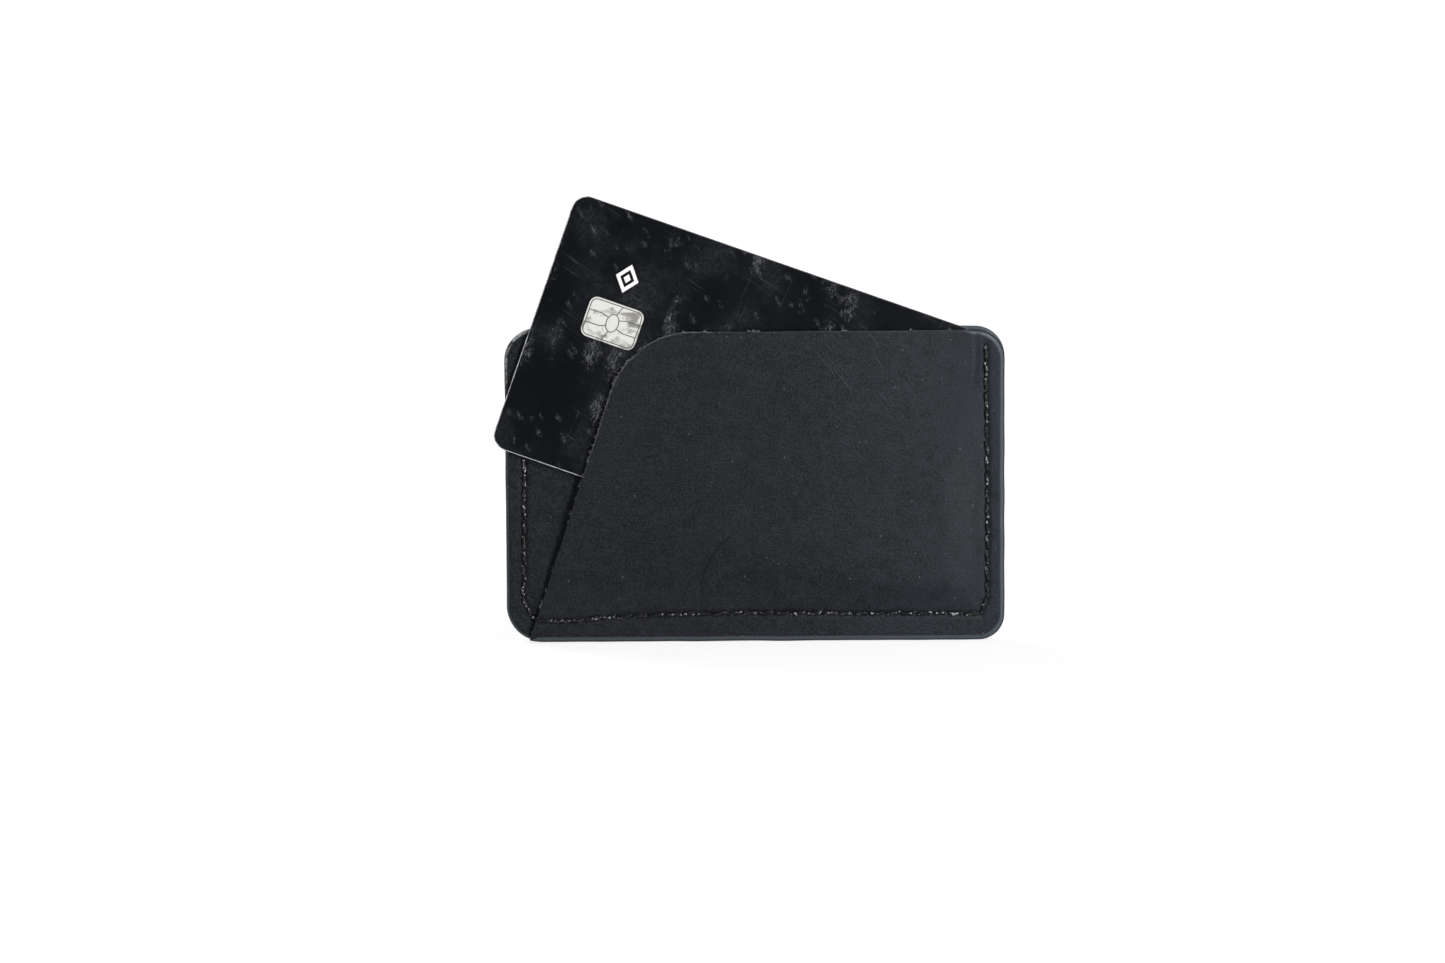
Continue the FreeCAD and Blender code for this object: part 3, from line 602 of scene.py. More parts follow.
# each stitch leans across the seam, wobbles, crowns in its middle and sinks into its two holes
STITCH_LEAN = 0.16
STITCH_WOBBLE = 0.03
STITCH_CROWN = 0.06
STITCH_SEAT = 0.08
STITCH_SINK = 0.75
SINK_SHARE = 0.085
# three plies, and the length in which they turn once
PLIES = 3
PLY_WAIST = 0.76
PLY_BULGE = 0.24
TWIST_LENGTH = 1.5


def front_surface(x, z):
    """The leather's front face before the stitches dent it, on whichever panel is in front."""
    on_front = x > slant_at(z) - 0.1
    return np.where(on_front, front_inner(x, z) - LEATHER, MIDDLE_FACE)


def back_surface(x, z):
    return back_inner(x, z) + LEATHER


def stitch_tube(start, end, surface, outward, source):
    """One twisted stitch from hole to hole: points of a tube of three plies."""
    start, end = np.array(start), np.array(end)
    along = end - start
    length = np.linalg.norm(along)
    along = along / length
    beside = np.array([-along[1], along[0]])
    t = np.linspace(0, 1, STITCH_RINGS)
    wobble = STITCH_WOBBLE * np.sin(t * math.pi * 3 + source.uniform(0, 6))
    offset = STITCH_LEAN * (t * 2 - 1) + wobble
    plane = start[None] + along[None] * (t * length)[:, None] + beside[None] * offset[:, None]
    level = surface(plane[:, 0], plane[:, 1])
    sink = STITCH_SINK * (np.exp(-(t / SINK_SHARE) ** 2) + np.exp(-((1 - t) / SINK_SHARE) ** 2))
    crown = STITCH_CROWN * np.sin(t * math.pi)
    depth = level + outward * (crown - STITCH_SEAT - sink)
    path = np.stack([plane[:, 0], depth, plane[:, 1]], axis=1)
    tangent = np.gradient(path, axis=0)
    tangent /= np.linalg.norm(tangent, axis=1)[:, None]
    across = np.tile([beside[0], 0.0, beside[1]], (STITCH_RINGS, 1))
    up = np.cross(tangent, across)
    phase = source.uniform(0, 2 * math.pi)
    travel = np.concatenate([[0], np.cumsum(np.linalg.norm(np.diff(path, axis=0), axis=1))])
    vertices = []
    for ring in range(STITCH_RINGS):
        twist = phase + travel[ring] * 2 * math.pi / TWIST_LENGTH
        for corner in range(STITCH_SIDES):
            angle = 2 * math.pi * corner / STITCH_SIDES
            ply = PLY_WAIST + PLY_BULGE * abs(math.cos(PLIES / 2 * (angle - twist)))
            radius = STITCH_RADIUS * ply
            out = across[ring] * radius * math.cos(angle) + up[ring] * radius * math.sin(angle)
            vertices.append(path[ring] + out)
    return vertices, capped_tube(STITCH_RINGS, STITCH_SIDES)


def make_thread():
    """The whole saddle-stitched thread, the front stitches and the back ones."""
    source = random.Random(5)
    vertices, faces = [], []
    for surface, outward in ((front_surface, -1), (back_surface, 1)):
        for start, end in STITCHES:
            append_part(vertices, faces, stitch_tube(start, end, surface, outward, source))
    item = mesh_object("thread", vertices, faces)
    weld(item)
    return item


# ---------------------------------------------------------------- loose fibres on the cut edges


HAIR_RINGS = 5
HAIR_SIDES = 3
HAIR_BEND = 0.9
HAIR_TAPER = 0.75
HAIR_FLATNESS = 0.7
HAIR_LENGTH = (0.12, 0.42)
HAIR_RADIUS = (0.03, 0.07)
HAIRS_IN_TUFT = (3, 9)
TUFT_STEP = 0.3
TUFT_SPREAD = 0.35
TUFT_DEPTH = (0.3, 1.2)
TUFT_ROOT = 0.12
HAIR_TILT = 1.2
# how likely a tuft is at each step along the top edge, round the shoulder and down the slanted edge
TOP_TUFTS = 0.05
SHOULDER_TUFTS = 0.24
SLANT_TUFTS = 0.11
SHOULDER_FROM = 34


def fibre(root, direction, length, radius, source):
    """One curved hair as a thin three-sided tube."""
    direction = np.array(direction, float)
    bend = np.array([source.uniform(-1, 1), source.uniform(-1, 1), source.uniform(-1, 1)]) * HAIR_BEND
    vertices = []
    for ring in range(HAIR_RINGS):
        t = ring / (HAIR_RINGS - 1)
        centre = np.array(root) + direction * length * t + bend * length * t * t * 0.5
        width = radius * (1 - HAIR_TAPER * t)
        for corner in range(HAIR_SIDES):
            angle = 2 * math.pi * corner / HAIR_SIDES
            out = np.array([math.cos(angle), HAIR_FLATNESS * math.sin(angle), math.sin(angle)])
            vertices.append(centre + out * width)
    return vertices, capped_tube(HAIR_RINGS, HAIR_SIDES)


def tuft_chance(z):
    if z > FRONT_HEIGHT - 1:
        return TOP_TUFTS
    if z > SHOULDER_FROM:
        return SHOULDER_TUFTS
    return SLANT_TUFTS


def make_fibres():
    """Small tufts where the front panel's slanted and top edges were cut and left unfinished."""
    source = random.Random(23)
    points, normals = rounded_outline(front_outline(), TUFT_STEP)
    weight = free_edge(points)
    vertices, faces = [], []
    for (x, z), normal, free in zip(points, normals, weight):
        if free < 0.5 or source.random() > tuft_chance(z):
            continue
        level = float(front_inner(np.array([x]), np.array([z]))[0])
        along = np.array([-normal[1], normal[0]])
        for _ in range(source.randint(*HAIRS_IN_TUFT)):
            spread = source.uniform(-TUFT_SPREAD, TUFT_SPREAD)
            depth = level - source.uniform(*TUFT_DEPTH)
            root_x = x + along[0] * spread - normal[0] * TUFT_ROOT
            root_z = z + along[1] * spread - normal[1] * TUFT_ROOT
            tilt = source.uniform(-HAIR_TILT, HAIR_TILT)
            lean = (normal[0] + along[0] * tilt, source.uniform(-0.5, 0.5), normal[1] + along[1] * tilt)
            length = source.uniform(*HAIR_LENGTH)
            radius = source.uniform(*HAIR_RADIUS)
            append_part(vertices, faces, fibre((root_x, depth, root_z), lean, length, radius, source))
    return mesh_object("edge_fibres", vertices, faces)


# ---------------------------------------------------------------- materials

# specular levels
LEATHER_SHINE = 0.11
THREAD_SHINE = 0.12
CARD_SHINE = 0.05
CARD_EDGE_SHINE = 0.3
STRIPE_SHINE = 0.2
PLAIN_SHINE = 0.5

# the arc that the curved crease follows in the leather's face
CREASE_CENTRE = (4.3, 0, 9.5)
CREASE_RADIUS = 15.5

LEATHER_DARK = (0.0016, 0.0021, 0.003)
LEATHER_LIGHT = (0.0074, 0.0096, 0.0126)
# painted highlight: the light colour of the burnished edges' rounding
BURNISHED_EDGE_HIGHLIGHT = (0.046, 0.058, 0.066)
# painted shade in the pits of the grain
PORE_SHADE = (0.0012, 0.0015, 0.002)
# painted shade in the crease and wrinkles
CREASE_SHADE = (0.0006, 0.0008, 0.0011)
DUST = (0.22, 0.22, 0.22)
SCRATCHED = (0.2, 0.21, 0.22)
# pale cut edges: the leather's fibres, painted lighter as a highlight along the edge
RAW_LEATHER_AND_HIGHLIGHT = (0.2, 0.205, 0.21)
THREAD_DARK = (0.0015, 0.0015, 0.002)
THREAD_LIGHT = (0.005, 0.005, 0.006)
# painted glints on the thread
PAINTED_WAX_GLINT = (0.42, 0.42, 0.43)
FIBRE_DARK = (0.03, 0.031, 0.034)
FIBRE_LIGHT = (0.34, 0.35, 0.36)
CARD_DARK = (0.0009, 0.0012, 0.0018)
CARD_LIGHT = (0.0026, 0.0033, 0.0048)
CARD_RUBBED = (0.16, 0.165, 0.175)
CARD_EDGE_DARK = (0.006, 0.0065, 0.008)
# the rim's pale colour: partly the worn core, partly a painted highlight
CARD_EDGE_WORN_AND_HIGHLIGHT = (0.36, 0.37, 0.39)
PLATING_TARNISHED = (0.14, 0.137, 0.12)
PLATING_CLEAN = (0.41, 0.41, 0.385)


def new_node(tree, kind, **settings):
    node = tree.nodes.new(kind)
    for key, value in settings.items():
        setattr(node, key, value)
    return node


def spread_node(tree, value, low, high, out_low, out_high):
    """Map a value's range to another one, held at its ends."""
    node = new_node(tree, "ShaderNodeMapRange")
    for name, number in (("From Min", low), ("From Max", high), ("To Min", out_low), ("To Max", out_high)):
        node.inputs[name].default_value = number
    tree.links.new(value, node.inputs["Value"])
    return node.outputs["Result"]


class Nodes:
    """A material's node tree, with short ways to add and join nodes."""

    def __init__(self, name):
        self.material = bpy.data.materials.new(name)
        self.material.use_nodes = True
        self.tree = self.material.node_tree
        self.shader = self.tree.nodes["Principled BSDF"]
        texture = self.add("ShaderNodeTexCoord")
        scale = self.add("ShaderNodeMapping")
        scale.inputs["Scale"].default_value = (1 / MM, 1 / MM, 1 / MM)
        self.join(texture.outputs["Object"], scale.inputs["Vector"])
        self.place = scale.outputs["Vector"]

    def add(self, kind, **settings):
        return new_node(self.tree, kind, **settings)

    def join(self, source, target):
        self.tree.links.new(source, target)

    def stretched(self, scale, turn=0.0, shift=(0.0, 0.0, 0.0)):
        """The object's own millimetre coordinates, moved, turned in its face and stretched."""
        node = self.add("ShaderNodeMapping", vector_type="TEXTURE")
        node.inputs["Location"].default_value = shift
        node.inputs["Rotation"].default_value = (0, turn, 0)
        node.inputs["Scale"].default_value = tuple(1 / factor for factor in scale)
        self.join(self.place, node.inputs["Vector"])
        return node.outputs["Vector"]

    def noise(self, scale, detail, roughness=0.55, vector=None, distortion=0.0):
        node = self.add("ShaderNodeTexNoise")
        node.inputs["Scale"].default_value = scale
        node.inputs["Detail"].default_value = detail
        node.inputs["Roughness"].default_value = roughness
        node.inputs["Distortion"].default_value = distortion
        self.join(vector or self.place, node.inputs["Vector"])
        return node.outputs["Fac"]

    def cells(self, scale, vector=None):
        node = self.add("ShaderNodeTexVoronoi", feature="F1")
        node.inputs["Scale"].default_value = scale
        self.join(vector or self.place, node.inputs["Vector"])
        return node.outputs["Distance"]

    def spread(self, value, low, high, out_low=0.0, out_high=1.0):
        return spread_node(self.tree, value, low, high, out_low, out_high)

    def times(self, *values):
        """The product of several values."""
        product = values[0]
        for value in values[1:]:
            product = self.maths("MULTIPLY", product, value)
        return product

    def maths(self, operation, first, second):
        node = self.add("ShaderNodeMath", operation=operation)
        for slot, value in ((0, first), (1, second)):
            if isinstance(value, (int, float)):
                node.inputs[slot].default_value = value
            else:
                self.join(value, node.inputs[slot])
        return node.outputs[0]

    def mix(self, share, first, second):
        node = self.add("ShaderNodeMix", data_type="RGBA")
        for name, value in (("A", first), ("B", second)):
            socket = [s for s in node.inputs if s.name == name and s.type == "RGBA"][0]
            if isinstance(value, tuple):
                socket.default_value = value + (1.0,)
            else:
                self.join(value, socket)
        factor = [s for s in node.inputs if s.name == "Factor" and s.type == "VALUE"][0]
        self.join(share, factor)
        return [s for s in node.outputs if s.type == "RGBA"][0]

    def bump(self, height, distance, strength=1.0, before=None):
        """A bump of the given depth in millimetres."""
        node = self.add("ShaderNodeBump")
        node.inputs["Strength"].default_value = strength
        node.inputs["Distance"].default_value = distance * MM
        self.join(height, node.inputs["Height"])
        if before is not None:
            self.join(before, node.inputs["Normal"])
        return node.outputs["Normal"]

    def attribute(self, name):
        return self.add("ShaderNodeAttribute", attribute_name=name).outputs["Fac"]

    def finish(self, color, roughness, normal=None, **constants):
        self.join(color, self.shader.inputs["Base Color"])
        self.join(roughness, self.shader.inputs["Roughness"])
        if normal is not None:
            self.join(normal, self.shader.inputs["Normal"])
        for name, value in constants.items():
            self.shader.inputs[name.replace("_", " ")].default_value = value
        return self.material


def between(n, place, ranges):
    """1 inside a region of the leather's face and 0 outside, fading over each (axis, zero at, one at)."""
    return n.times(*[n.spread(place.outputs[axis], low, high) for axis, low, high in ranges])


def crease_marks(n, place):
    """The curved crease low on the front panel, and a few short wrinkles across it, as a 0 to 1 mark."""
    from_centre = n.add("ShaderNodeVectorMath", operation="SUBTRACT")
    from_centre.inputs[1].default_value = CREASE_CENTRE
    n.join(n.place, from_centre.inputs[0])
    in_face = n.add("ShaderNodeVectorMath", operation="MULTIPLY")
    in_face.inputs[1].default_value = (1, 0, 1)
    n.join(from_centre.outputs["Vector"], in_face.inputs[0])
    away = n.add("ShaderNodeVectorMath", operation="LENGTH")
    n.join(in_face.outputs["Vector"], away.inputs[0])
    off_line = n.maths("ABSOLUTE", n.maths("SUBTRACT", away.outputs["Value"], CREASE_RADIUS), 0)
    low_left = between(n, place, (("X", -3.5, -5.5), ("Z", 8.5, 12.0), ("Z", 24.0, 20.0)))
    curve = n.times(n.spread(off_line, 0.45, 0.05), low_left)
    ridges = n.noise(scale=1.0, detail=2, roughness=0.5, vector=n.stretched((0.17, 1, 2.3), turn=0.06))
    near_slant = between(n, place, (("X", -36, -30), ("X", -8, -14), ("Z", 17.5, 19.5), ("Z", 25.5, 23.5)))
    wrinkles = n.times(n.spread(ridges, 0.56, 0.68), near_slant, 0.6)
    on_front = n.spread(place.outputs["Y"], -1, -2)
    return n.times(n.maths("MAXIMUM", curve, wrinkles), on_front)


def scratch_marks(n, place):
    """Fine slanting scratches near the front panel's top right corner, as a 0 to 1 mark."""
    along = n.stretched((0.16, 1, 5.5), turn=0.93)
    strokes = n.noise(scale=0.9, detail=2, roughness=0.5, vector=along)
    top_right = between(n, place, (("X", 8, 16), ("X", 36, 26), ("Z", 36, 46)))
    return n.times(n.spread(strokes, 0.64, 0.72), top_right)


def leather_material():
    """Waxed black leather: fine pores and grain, cloudy wax, dust specks, a burnished edge with a painted
    highlight, painted shade in the pits and creases, a painted sheen towards the right, and pale cut edges
    partly painted as a highlight.
    """
    n = Nodes("black_leather")
    clouds = n.noise(scale=0.05, detail=5, roughness=0.6)
    mottling = n.noise(scale=0.35, detail=4, roughness=0.6)
    pores = n.noise(scale=2.2, detail=5, roughness=0.7)
    pits = n.cells(1.9)
    along = n.stretched((0.35, 1, 2.6), turn=0.12)
    grain = n.noise(scale=1.0, detail=4, roughness=0.6, vector=along, distortion=0.4)
    edge = n.attribute("burnish_and_highlight")
    raw = n.attribute("raw")
    place = n.add("ShaderNodeSeparateXYZ")
    n.join(n.place, place.inputs[0])
    across = place.outputs["X"]
    # the grain is coarser at the left of the panel and in some of the clouds
    coarse = n.times(n.spread(across, -20, 38, 1.0, 0.5), n.spread(clouds, 0.35, 0.65, 0.7, 1.15))

    tone = n.maths("ADD", n.times(clouds, 0.34), n.times(mottling, 0.5))
    # lighter towards the right: painted sheen where the light falls on that side of the panel
    tone = n.maths("ADD", tone, n.spread(across, 5, 44, 0.15, 0.29))
    tone = n.maths("ADD", tone, n.times(n.maths("SUBTRACT", pores, 0.5), coarse, 2.6))
    color = n.mix(n.spread(tone, 0.48, 0.74), LEATHER_DARK, LEATHER_LIGHT)
    # the burnished rounding of each edge is painted light: a painted highlight, the white surround
    # reflected along the edge
    color = n.mix(n.spread(edge, 0.2, 1.0, 0.0, 0.75), color, BURNISHED_EDGE_HIGHLIGHT)
    # the pits of the grain are darkened at their bottoms: painted shade
    color = n.mix(n.times(n.spread(pits, 0.26, 0.08), coarse, 0.6), color, PORE_SHADE)
    color = n.mix(n.times(n.spread(n.cells(0.36), 0.055, 0.025), 0.4), color, DUST)
    color = n.mix(n.times(scratch_marks(n, place), 0.1), color, SCRATCHED)
    creases = crease_marks(n, place)
    # painted shade along the crease and wrinkles, on top of their bump
    color = n.mix(n.times(creases, 0.85), color, CREASE_SHADE)
    patchy = n.spread(n.noise(scale=1.1, detail=4, roughness=0.75), 0.4, 0.62, 0.1, 1.0)
    # pale cut edges and rubbed corner: partly fibres and wear, partly a painted highlight along the edge
    color = n.mix(n.times(n.spread(raw, 0.25, 0.9), patchy), color, RAW_LEATHER_AND_HIGHLIGHT)

    rough = n.maths("ADD", n.times(mottling, 0.2), n.times(pores, 0.26))
    rough = n.maths("SUBTRACT", n.maths("ADD", rough, 0.15), n.times(edge, 0.1))

    flat = n.times(n.spread(edge, 0, 1, 1.0, 0.35), coarse)
    normal = n.bump(n.times(n.spread(pits, 0.0, 0.3), flat), 0.09)
    normal = n.bump(n.times(pores, flat), 0.3, before=normal)
    normal = n.bump(n.times(grain, flat), 0.12, before=normal)
    normal = n.bump(n.times(creases, -1.0), 0.1, before=normal)
    return n.finish(color, rough, normal, Specular_IOR_Level=LEATHER_SHINE)


def thread_material():
    """Black thread, with painted glints here and there: light spots in its colour for the highlights off
    its wax.
    """
    n = Nodes("waxed_thread")
    plies = n.noise(scale=9, detail=3, roughness=0.6)
    # painted glints: light spots in the colour that stand for highlights off the wax
    wax = n.spread(n.noise(scale=1.9, detail=3, roughness=0.7), 0.58, 0.65)
    color = n.mix(plies, THREAD_DARK, THREAD_LIGHT)
    color = n.mix(n.times(wax, 0.7), color, PAINTED_WAX_GLINT)
    rough = n.spread(plies, 0.3, 0.7, 0.2, 0.42)
    normal = n.bump(plies, 0.04, 0.7)
    return n.finish(color, rough, normal, Specular_IOR_Level=THREAD_SHINE)


def fibre_material():
    """The pale, dusty ends of the leather's fibres."""
    n = Nodes("raw_fibre")
    tone = n.noise(scale=3.5, detail=3)
    color = n.mix(tone, FIBRE_DARK, FIBRE_LIGHT)
    return n.finish(color, n.spread(tone, 0, 1, 0.6, 0.9))


def scuffs(n, scale, reach, streak_scale, turn, shift):
    """Wisps of short pale rubs scattered over the card, each broken into fine streaks."""
    place = n.stretched((1.6, 1, 0.75), turn, shift)
    wobble = n.noise(scale=0.55, detail=4, roughness=0.75)
    near = n.maths("ADD", n.cells(scale, place), n.times(wobble, 0.9))
    patch = n.spread(near, reach + 0.45, reach * 0.2 + 0.4)
    along = n.stretched((2.6, 1, 0.6), turn)
    streaks = n.noise(streak_scale, detail=5, roughness=0.75, vector=along, distortion=1.0)
    return n.times(patch, n.spread(streaks, 0.52, 0.58))


def hairlines(n, stretch, turn, low, high):
    """Long straight scratches in one direction, as a 0 to 1 mark."""
    along = n.stretched(stretch, turn)
    return n.spread(n.noise(scale=0.9, detail=2, roughness=0.5, vector=along, distortion=0.2), low, high)


def card_material():
    """Satin black plastic with the pale rubs and fine scratches of a card that is carried about."""
    n = Nodes("card_black")
    patches = n.noise(scale=0.06, detail=3, roughness=0.6)
    flecks = n.noise(scale=1.9, detail=4, roughness=0.75)
    large = scuffs(n, scale=0.1, reach=0.32, streak_scale=1.9, turn=0.25, shift=(9.0, 0.0, 4.0))
    small = scuffs(n, scale=0.26, reach=0.24, streak_scale=2.8, turn=-0.5, shift=(0.0, 2.0, 7.0))
    haze = n.times(n.spread(patches, 0.5, 0.68), n.spread(flecks, 0.4, 0.7))
    lines = n.maths("MAXIMUM", hairlines(n, (0.1, 1, 4.0), 0.6, 0.7, 0.74),
                    hairlines(n, (4.0, 1, 0.1), 0.45, 0.71, 0.75))
    lines = n.times(lines, n.spread(patches, 0.4, 0.6))
    marks = n.maths("MAXIMUM", n.times(large, 0.66), n.times(small, 0.5))
    marks = n.maths("MAXIMUM", marks, n.times(haze, 0.1))
    marks = n.maths("MAXIMUM", marks, n.times(lines, 0.16))
    color = n.mix(n.spread(patches, 0.35, 0.65), CARD_DARK, CARD_LIGHT)
    color = n.mix(marks, color, CARD_RUBBED)
    rough = n.maths("ADD", n.spread(flecks, 0.2, 0.8, 0.3, 0.42), n.times(marks, 0.3))
    normal = n.bump(flecks, 0.006, 0.5)
    normal = n.bump(lines, 0.01, 0.5, normal)
    return n.finish(color, rough, normal, Specular_IOR_Level=CARD_SHINE)


def card_edge_material():
    """The card's rim, where the black layer is worn through to the paler core in places; its left and
    lower sides are painted paler as a highlight.
    """
    n = Nodes("card_edge")
    patchy = n.spread(n.noise(scale=0.5, detail=4, roughness=0.65), 0.36, 0.6, 0.2, 0.9)
    # pale where worn, and painted paler on the left and lower sides as a highlight
    color = n.mix(n.times(n.attribute("worn"), patchy), CARD_EDGE_DARK, CARD_EDGE_WORN_AND_HIGHLIGHT)
    rough = n.spread(n.noise(scale=3, detail=3), 0.3, 0.7, 0.35, 0.5)
    return n.finish(color, rough, Specular_IOR_Level=CARD_EDGE_SHINE)


def contact_material():
    """Silver-coloured plating, lightly tarnished and worn by readers."""
    n = Nodes("contact_plating")
    spots = n.stretched((1.0, 1, 1.3), turn=0.3)
    cloud = n.noise(scale=0.32, detail=4, roughness=0.6, vector=spots, distortion=0.6)
    along = n.stretched((0.3, 1, 2.4), turn=0.34)
    rubbing = n.noise(scale=2.2, detail=3, roughness=0.5, vector=along)
    color = n.mix(n.spread(cloud, 0.38, 0.52), PLATING_TARNISHED, PLATING_CLEAN)
    rough = n.spread(rubbing, 0.25, 0.75, 0.38, 0.55)
    return n.finish(color, rough, n.bump(rubbing, 0.006, 0.5), Metallic=0.2)


def plain_material(name, colors, scale, roughness, depth, metallic=0.0, shine=PLAIN_SHINE):
    """A quiet two-tone finish with a fine texture."""
    n = Nodes(name)
    tone = n.noise(scale, detail=4, roughness=0.6)
    color = n.mix(tone, *colors)
    rough = n.spread(tone, 0.3, 0.7, *roughness)
    return n.finish(color, rough, n.bump(tone, depth, 0.6), Metallic=metallic, Specular_IOR_Level=shine)


def dress(item, material):
    item.data.materials.clear()
    item.data.materials.append(material)


def dress_node(node, material):
    """Give a CAD node that stays in view a better material."""
    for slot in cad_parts[node].material_slots:
        slot.material = material


# ---------------------------------------------------------------- the object

# the left end of the front panel's middle line, and how far the others stop short of the corners
FRONT_SPINE_LEFT = -6.0
SPINE_MARGIN = 1.0


def make_leather():
    """The three panels, each standing for its CAD node."""
    end = HALF_WIDTH - HEIGHT / 2 - SPINE_MARGIN
    level = HEIGHT / 2
    spine = (-end, end, level)
    back = panel("back_leather", full_outline(), back_inner, back_outer, steady(INNER_ROUNDING),
                 steady(BACK_ROUNDING), spine, 31, not_raw, FULL_POLISH_AND_HIGHLIGHT)
    middle = panel("middle_leather", full_outline(), middle_front, middle_back, middle_panel_rounding,
                   steady(INNER_ROUNDING), spine, 32, worn_corner, FULL_POLISH_AND_HIGHLIGHT)
    front = panel("front_leather", front_outline(), front_outer, front_inner, front_panel_rounding,
                  steady(FRONT_INNER_ROUNDING), (FRONT_SPINE_LEFT, end, level), 33, cut_edge, UPPER_POLISH_AND_HIGHLIGHT)
    leather = leather_material()
    for item, node in ((back, "back_panel"), (middle, "middle_panel"), (front, "front_panel")):
        dress(item, leather)
        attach(item, "holder")
        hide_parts(node)


def make_stitching():
    """The thread, which stands for its CAD node, and the loose fibres on the cut edges."""
    thread = make_thread()
    dress(thread, thread_material())
    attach(thread, "holder")
    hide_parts("seam_thread")
    fibres = make_fibres()
    dress(fibres, fibre_material())
    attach(fibres, "holder")


BEAD_STEP = 0.4
BEAD_SIDES = 8
# how far the bead's middle lies inside the card's outline and behind its face, as a share of its radius
BEAD_INSET = 0.75
BEAD_SINK = 0.6
# how pale the rim is away from its left and lower sides, which carry the painted highlight
LEAST_WORN_AND_HIGHLIGHT = 0.18


def make_card_edge():
    """The rounded rim of the card's printed face, as a thin bead following its outline."""
    half_length, half_height = CARD_LENGTH / 2, CARD_HEIGHT / 2
    corners = [(-half_length, -half_height, CARD_CORNER), (half_length, -half_height, CARD_CORNER),
               (half_length, half_height, CARD_CORNER), (-half_length, half_height, CARD_CORNER)]
    points, normals = rounded_outline(corners, BEAD_STEP)
    right = np.array([math.cos(CARD_TILT), 0, -math.sin(CARD_TILT)])
    up = np.array([math.sin(CARD_TILT), 0, math.cos(CARD_TILT)])
    centre = np.array(CARD_CENTRE)
    left_or_low = (normals[:, 0] < -0.3) | (normals[:, 1] < -0.3)
    rings = []
    for k in range(BEAD_SIDES + 1):
        angle = 2 * math.pi * (k % BEAD_SIDES) / BEAD_SIDES
        local = points + normals * CARD_BEAD * (math.cos(angle) - BEAD_INSET)
        ring = centre + local[:, :1] * right + local[:, 1:] * up
        ring[:, 1] = CARD_FACE_DEPTH + CARD_BEAD * (BEAD_SINK - math.sin(angle))
        rings.append(ring)
    item = mesh_object("card_rim", np.concatenate(rings), grid_faces(BEAD_SIDES + 1, len(points)))
    # full paleness on the left and lower sides: wear together with a painted highlight
    set_weights(item, "worn", [np.where(left_or_low, 1.0, LEAST_WORN_AND_HIGHLIGHT)] * (BEAD_SIDES + 1))
    weld(item)
    dress(item, card_edge_material())
    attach(item, "card")


def dress_card():
    """The card's own pieces keep their CAD shapes and get their finishes here."""
    black = card_material()
    plating = contact_material()
    finishes = {
        "card_front_sheet": black,
        "card_back_sheet": black,
        "card_inlay": plain_material("card_core", ((0.02, 0.021, 0.023), (0.05, 0.05, 0.053)),
                                     scale=2.0, roughness=(0.5, 0.7), depth=0.01),
        "card_antenna": plain_material("aerial_foil", ((0.55, 0.55, 0.57), (0.8, 0.8, 0.8)),
                                       scale=1.5, roughness=(0.25, 0.45), depth=0.004, metallic=1.0),
        "chip_carrier": plain_material("module_tape", ((0.015, 0.015, 0.014), (0.06, 0.058, 0.05)),
                                       scale=2.5, roughness=(0.4, 0.6), depth=0.01),
        "chip_contacts": plating,
        "contact_rim": plating,
        "card_mark": plain_material("white_ink", ((0.4, 0.405, 0.405), (0.58, 0.58, 0.58)),
                                    scale=1.2, roughness=(0.35, 0.55), depth=0.004),
        "magnetic_stripe": plain_material("stripe_film", ((0.004, 0.0035, 0.003), (0.01, 0.008, 0.0075)),
                                          scale=0.8, roughness=(0.2, 0.35), depth=0.004,
                                          shine=STRIPE_SHINE),
    }
    for node, material in finishes.items():
        dress_node(node, material)


# ---------------------------------------------------------------- stage, light and camera

# the floor, in metres, and how far from the holder, in millimetres, it fades into the surround
FLOOR_REACH = 14.0
FLOOR_GREY = (0.15, 0.15, 0.15, 1)
FLOOR_GLOW_NEAR = 0.78
FLOOR_GLOW_FAR = 1.0
FLOOR_FADE = (150, 1500)

# the studio's brightness at the sides, in front and behind, above, and at the horizon
WORLD_SIDES = 0.55
WORLD_ENDS = 0.04
WORLD_TOP = 0.35
WORLD_HORIZON = 1.0
WORLD_COLOR = (0.985, 0.99, 1.0, 1)

# the name, place, size and power of each area light, in metres and watts
LIGHT_AIM = (0, 0, 0.03)
LIGHTS = (
    ("key", (0.62, -0.72, 0.7), (0.3, 0.3), 10),
    ("strip", (0.28, -0.45, 0.13), (0.1, 0.28), 3.3),
    ("back", (-0.6, 0.75, 0.7), (0.6, 0.6), 16),
)

# the camera, in millimetres
CAMERA_AIM = (-6.55, 0.0, 32.5)
CAMERA_DISTANCE = 950
CAMERA_ELEVATION = math.radians(6.0)
CAMERA_ROLL = math.radians(-0.35)
SENSOR_WIDTH = 36
FOCAL_LENGTH = 117


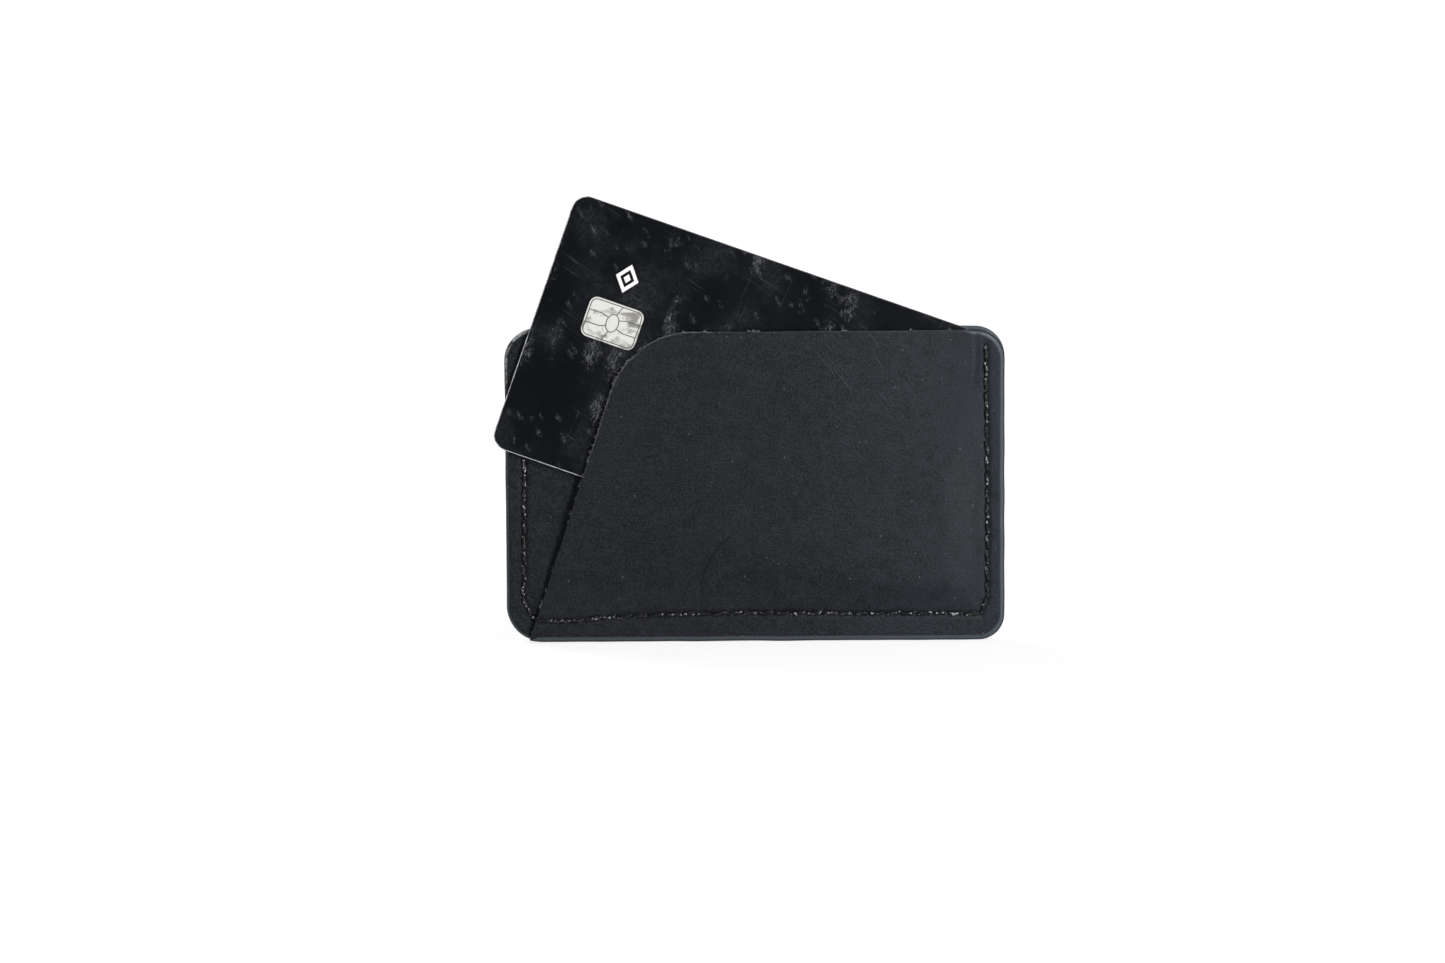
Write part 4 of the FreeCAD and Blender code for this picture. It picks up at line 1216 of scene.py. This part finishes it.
def make_floor():
    """A plain white floor that fades into the white surround."""
    mesh = bpy.data.meshes.new("floor")
    corners = [(-FLOOR_REACH, -FLOOR_REACH, 0), (FLOOR_REACH, -FLOOR_REACH, 0),
               (FLOOR_REACH, FLOOR_REACH, 0), (-FLOOR_REACH, FLOOR_REACH, 0)]
    mesh.from_pydata(corners, [], [(0, 1, 2, 3)])
    item = bpy.data.objects.new("floor", mesh)
    bpy.context.scene.collection.objects.link(item)
    n = Nodes("floor_white")
    n.shader.inputs["Base Color"].default_value = FLOOR_GREY
    n.shader.inputs["Roughness"].default_value = 0.9
    n.shader.inputs["Specular IOR Level"].default_value = 0.1
    n.shader.inputs["Emission Color"].default_value = (1, 1, 1, 1)
    away = n.add("ShaderNodeVectorMath", operation="LENGTH")
    n.join(n.place, away.inputs[0])
    glow = n.spread(away.outputs["Value"], *FLOOR_FADE, FLOOR_GLOW_NEAR, FLOOR_GLOW_FAR)
    n.join(glow, n.shader.inputs["Emission Strength"])
    dress(item, n.material)


def make_world():
    """A studio that is bright above, at the sides and at the horizon, and dim in front and behind."""
    world = bpy.data.worlds.new("studio")
    bpy.context.scene.world = world
    world.use_nodes = True
    tree = world.node_tree
    background = tree.nodes["Background"]
    background.inputs["Color"].default_value = WORLD_COLOR

    def maths(operation, *values):
        node = new_node(tree, "ShaderNodeMath", operation=operation)
        for socket, value in zip(node.inputs, values):
            tree.links.new(value, socket)
        return node.outputs[0]

    place = new_node(tree, "ShaderNodeTexCoord")
    split = new_node(tree, "ShaderNodeSeparateXYZ")
    tree.links.new(place.outputs["Generated"], split.inputs[0])
    forward = maths("ABSOLUTE", split.outputs["Y"])
    upward = split.outputs["Z"]
    around = spread_node(tree, forward, 0.35, 0.8, WORLD_SIDES, WORLD_ENDS)
    above = spread_node(tree, upward, 0.35, 0.8, 0.0, WORLD_TOP)
    horizon = spread_node(tree, upward, 0.06, 0.03, 0.0, WORLD_HORIZON)
    total = maths("ADD", maths("ADD", around, above), horizon)
    tree.links.new(total, background.inputs["Strength"])


def make_light(name, place, size, power):
    light = bpy.data.lights.new(name, "AREA")
    light.shape = "RECTANGLE"
    light.size, light.size_y = size
    light.energy = power
    item = bpy.data.objects.new(name, light)
    item.location = place
    item.rotation_euler = (Vector(LIGHT_AIM) - Vector(place)).to_track_quat("-Z", "Y").to_euler()
    bpy.context.scene.collection.objects.link(item)


def make_camera():
    """Level with the holder's front, a few degrees above it and very slightly rolled."""
    data = bpy.data.cameras.new("camera")
    data.sensor_width = SENSOR_WIDTH
    data.lens = FOCAL_LENGTH
    data.clip_start = 0.05
    data.clip_end = 20
    item = bpy.data.objects.new("camera", data)
    back = Vector((0, -math.cos(CAMERA_ELEVATION), math.sin(CAMERA_ELEVATION)))
    item.location = Vector(CAMERA_AIM) * MM + back * CAMERA_DISTANCE * MM
    item.rotation_euler = (-back).to_track_quat("-Z", "Y").to_euler()
    item.rotation_euler.rotate_axis("Z", CAMERA_ROLL)
    bpy.context.scene.collection.objects.link(item)
    bpy.context.scene.camera = item


make_camera()
make_floor()
make_world()
for light_settings in LIGHTS:
    make_light(*light_settings)
make_leather()
make_stitching()
dress_card()
make_card_edge()
bpy.context.scene.view_settings.view_transform = "Standard"
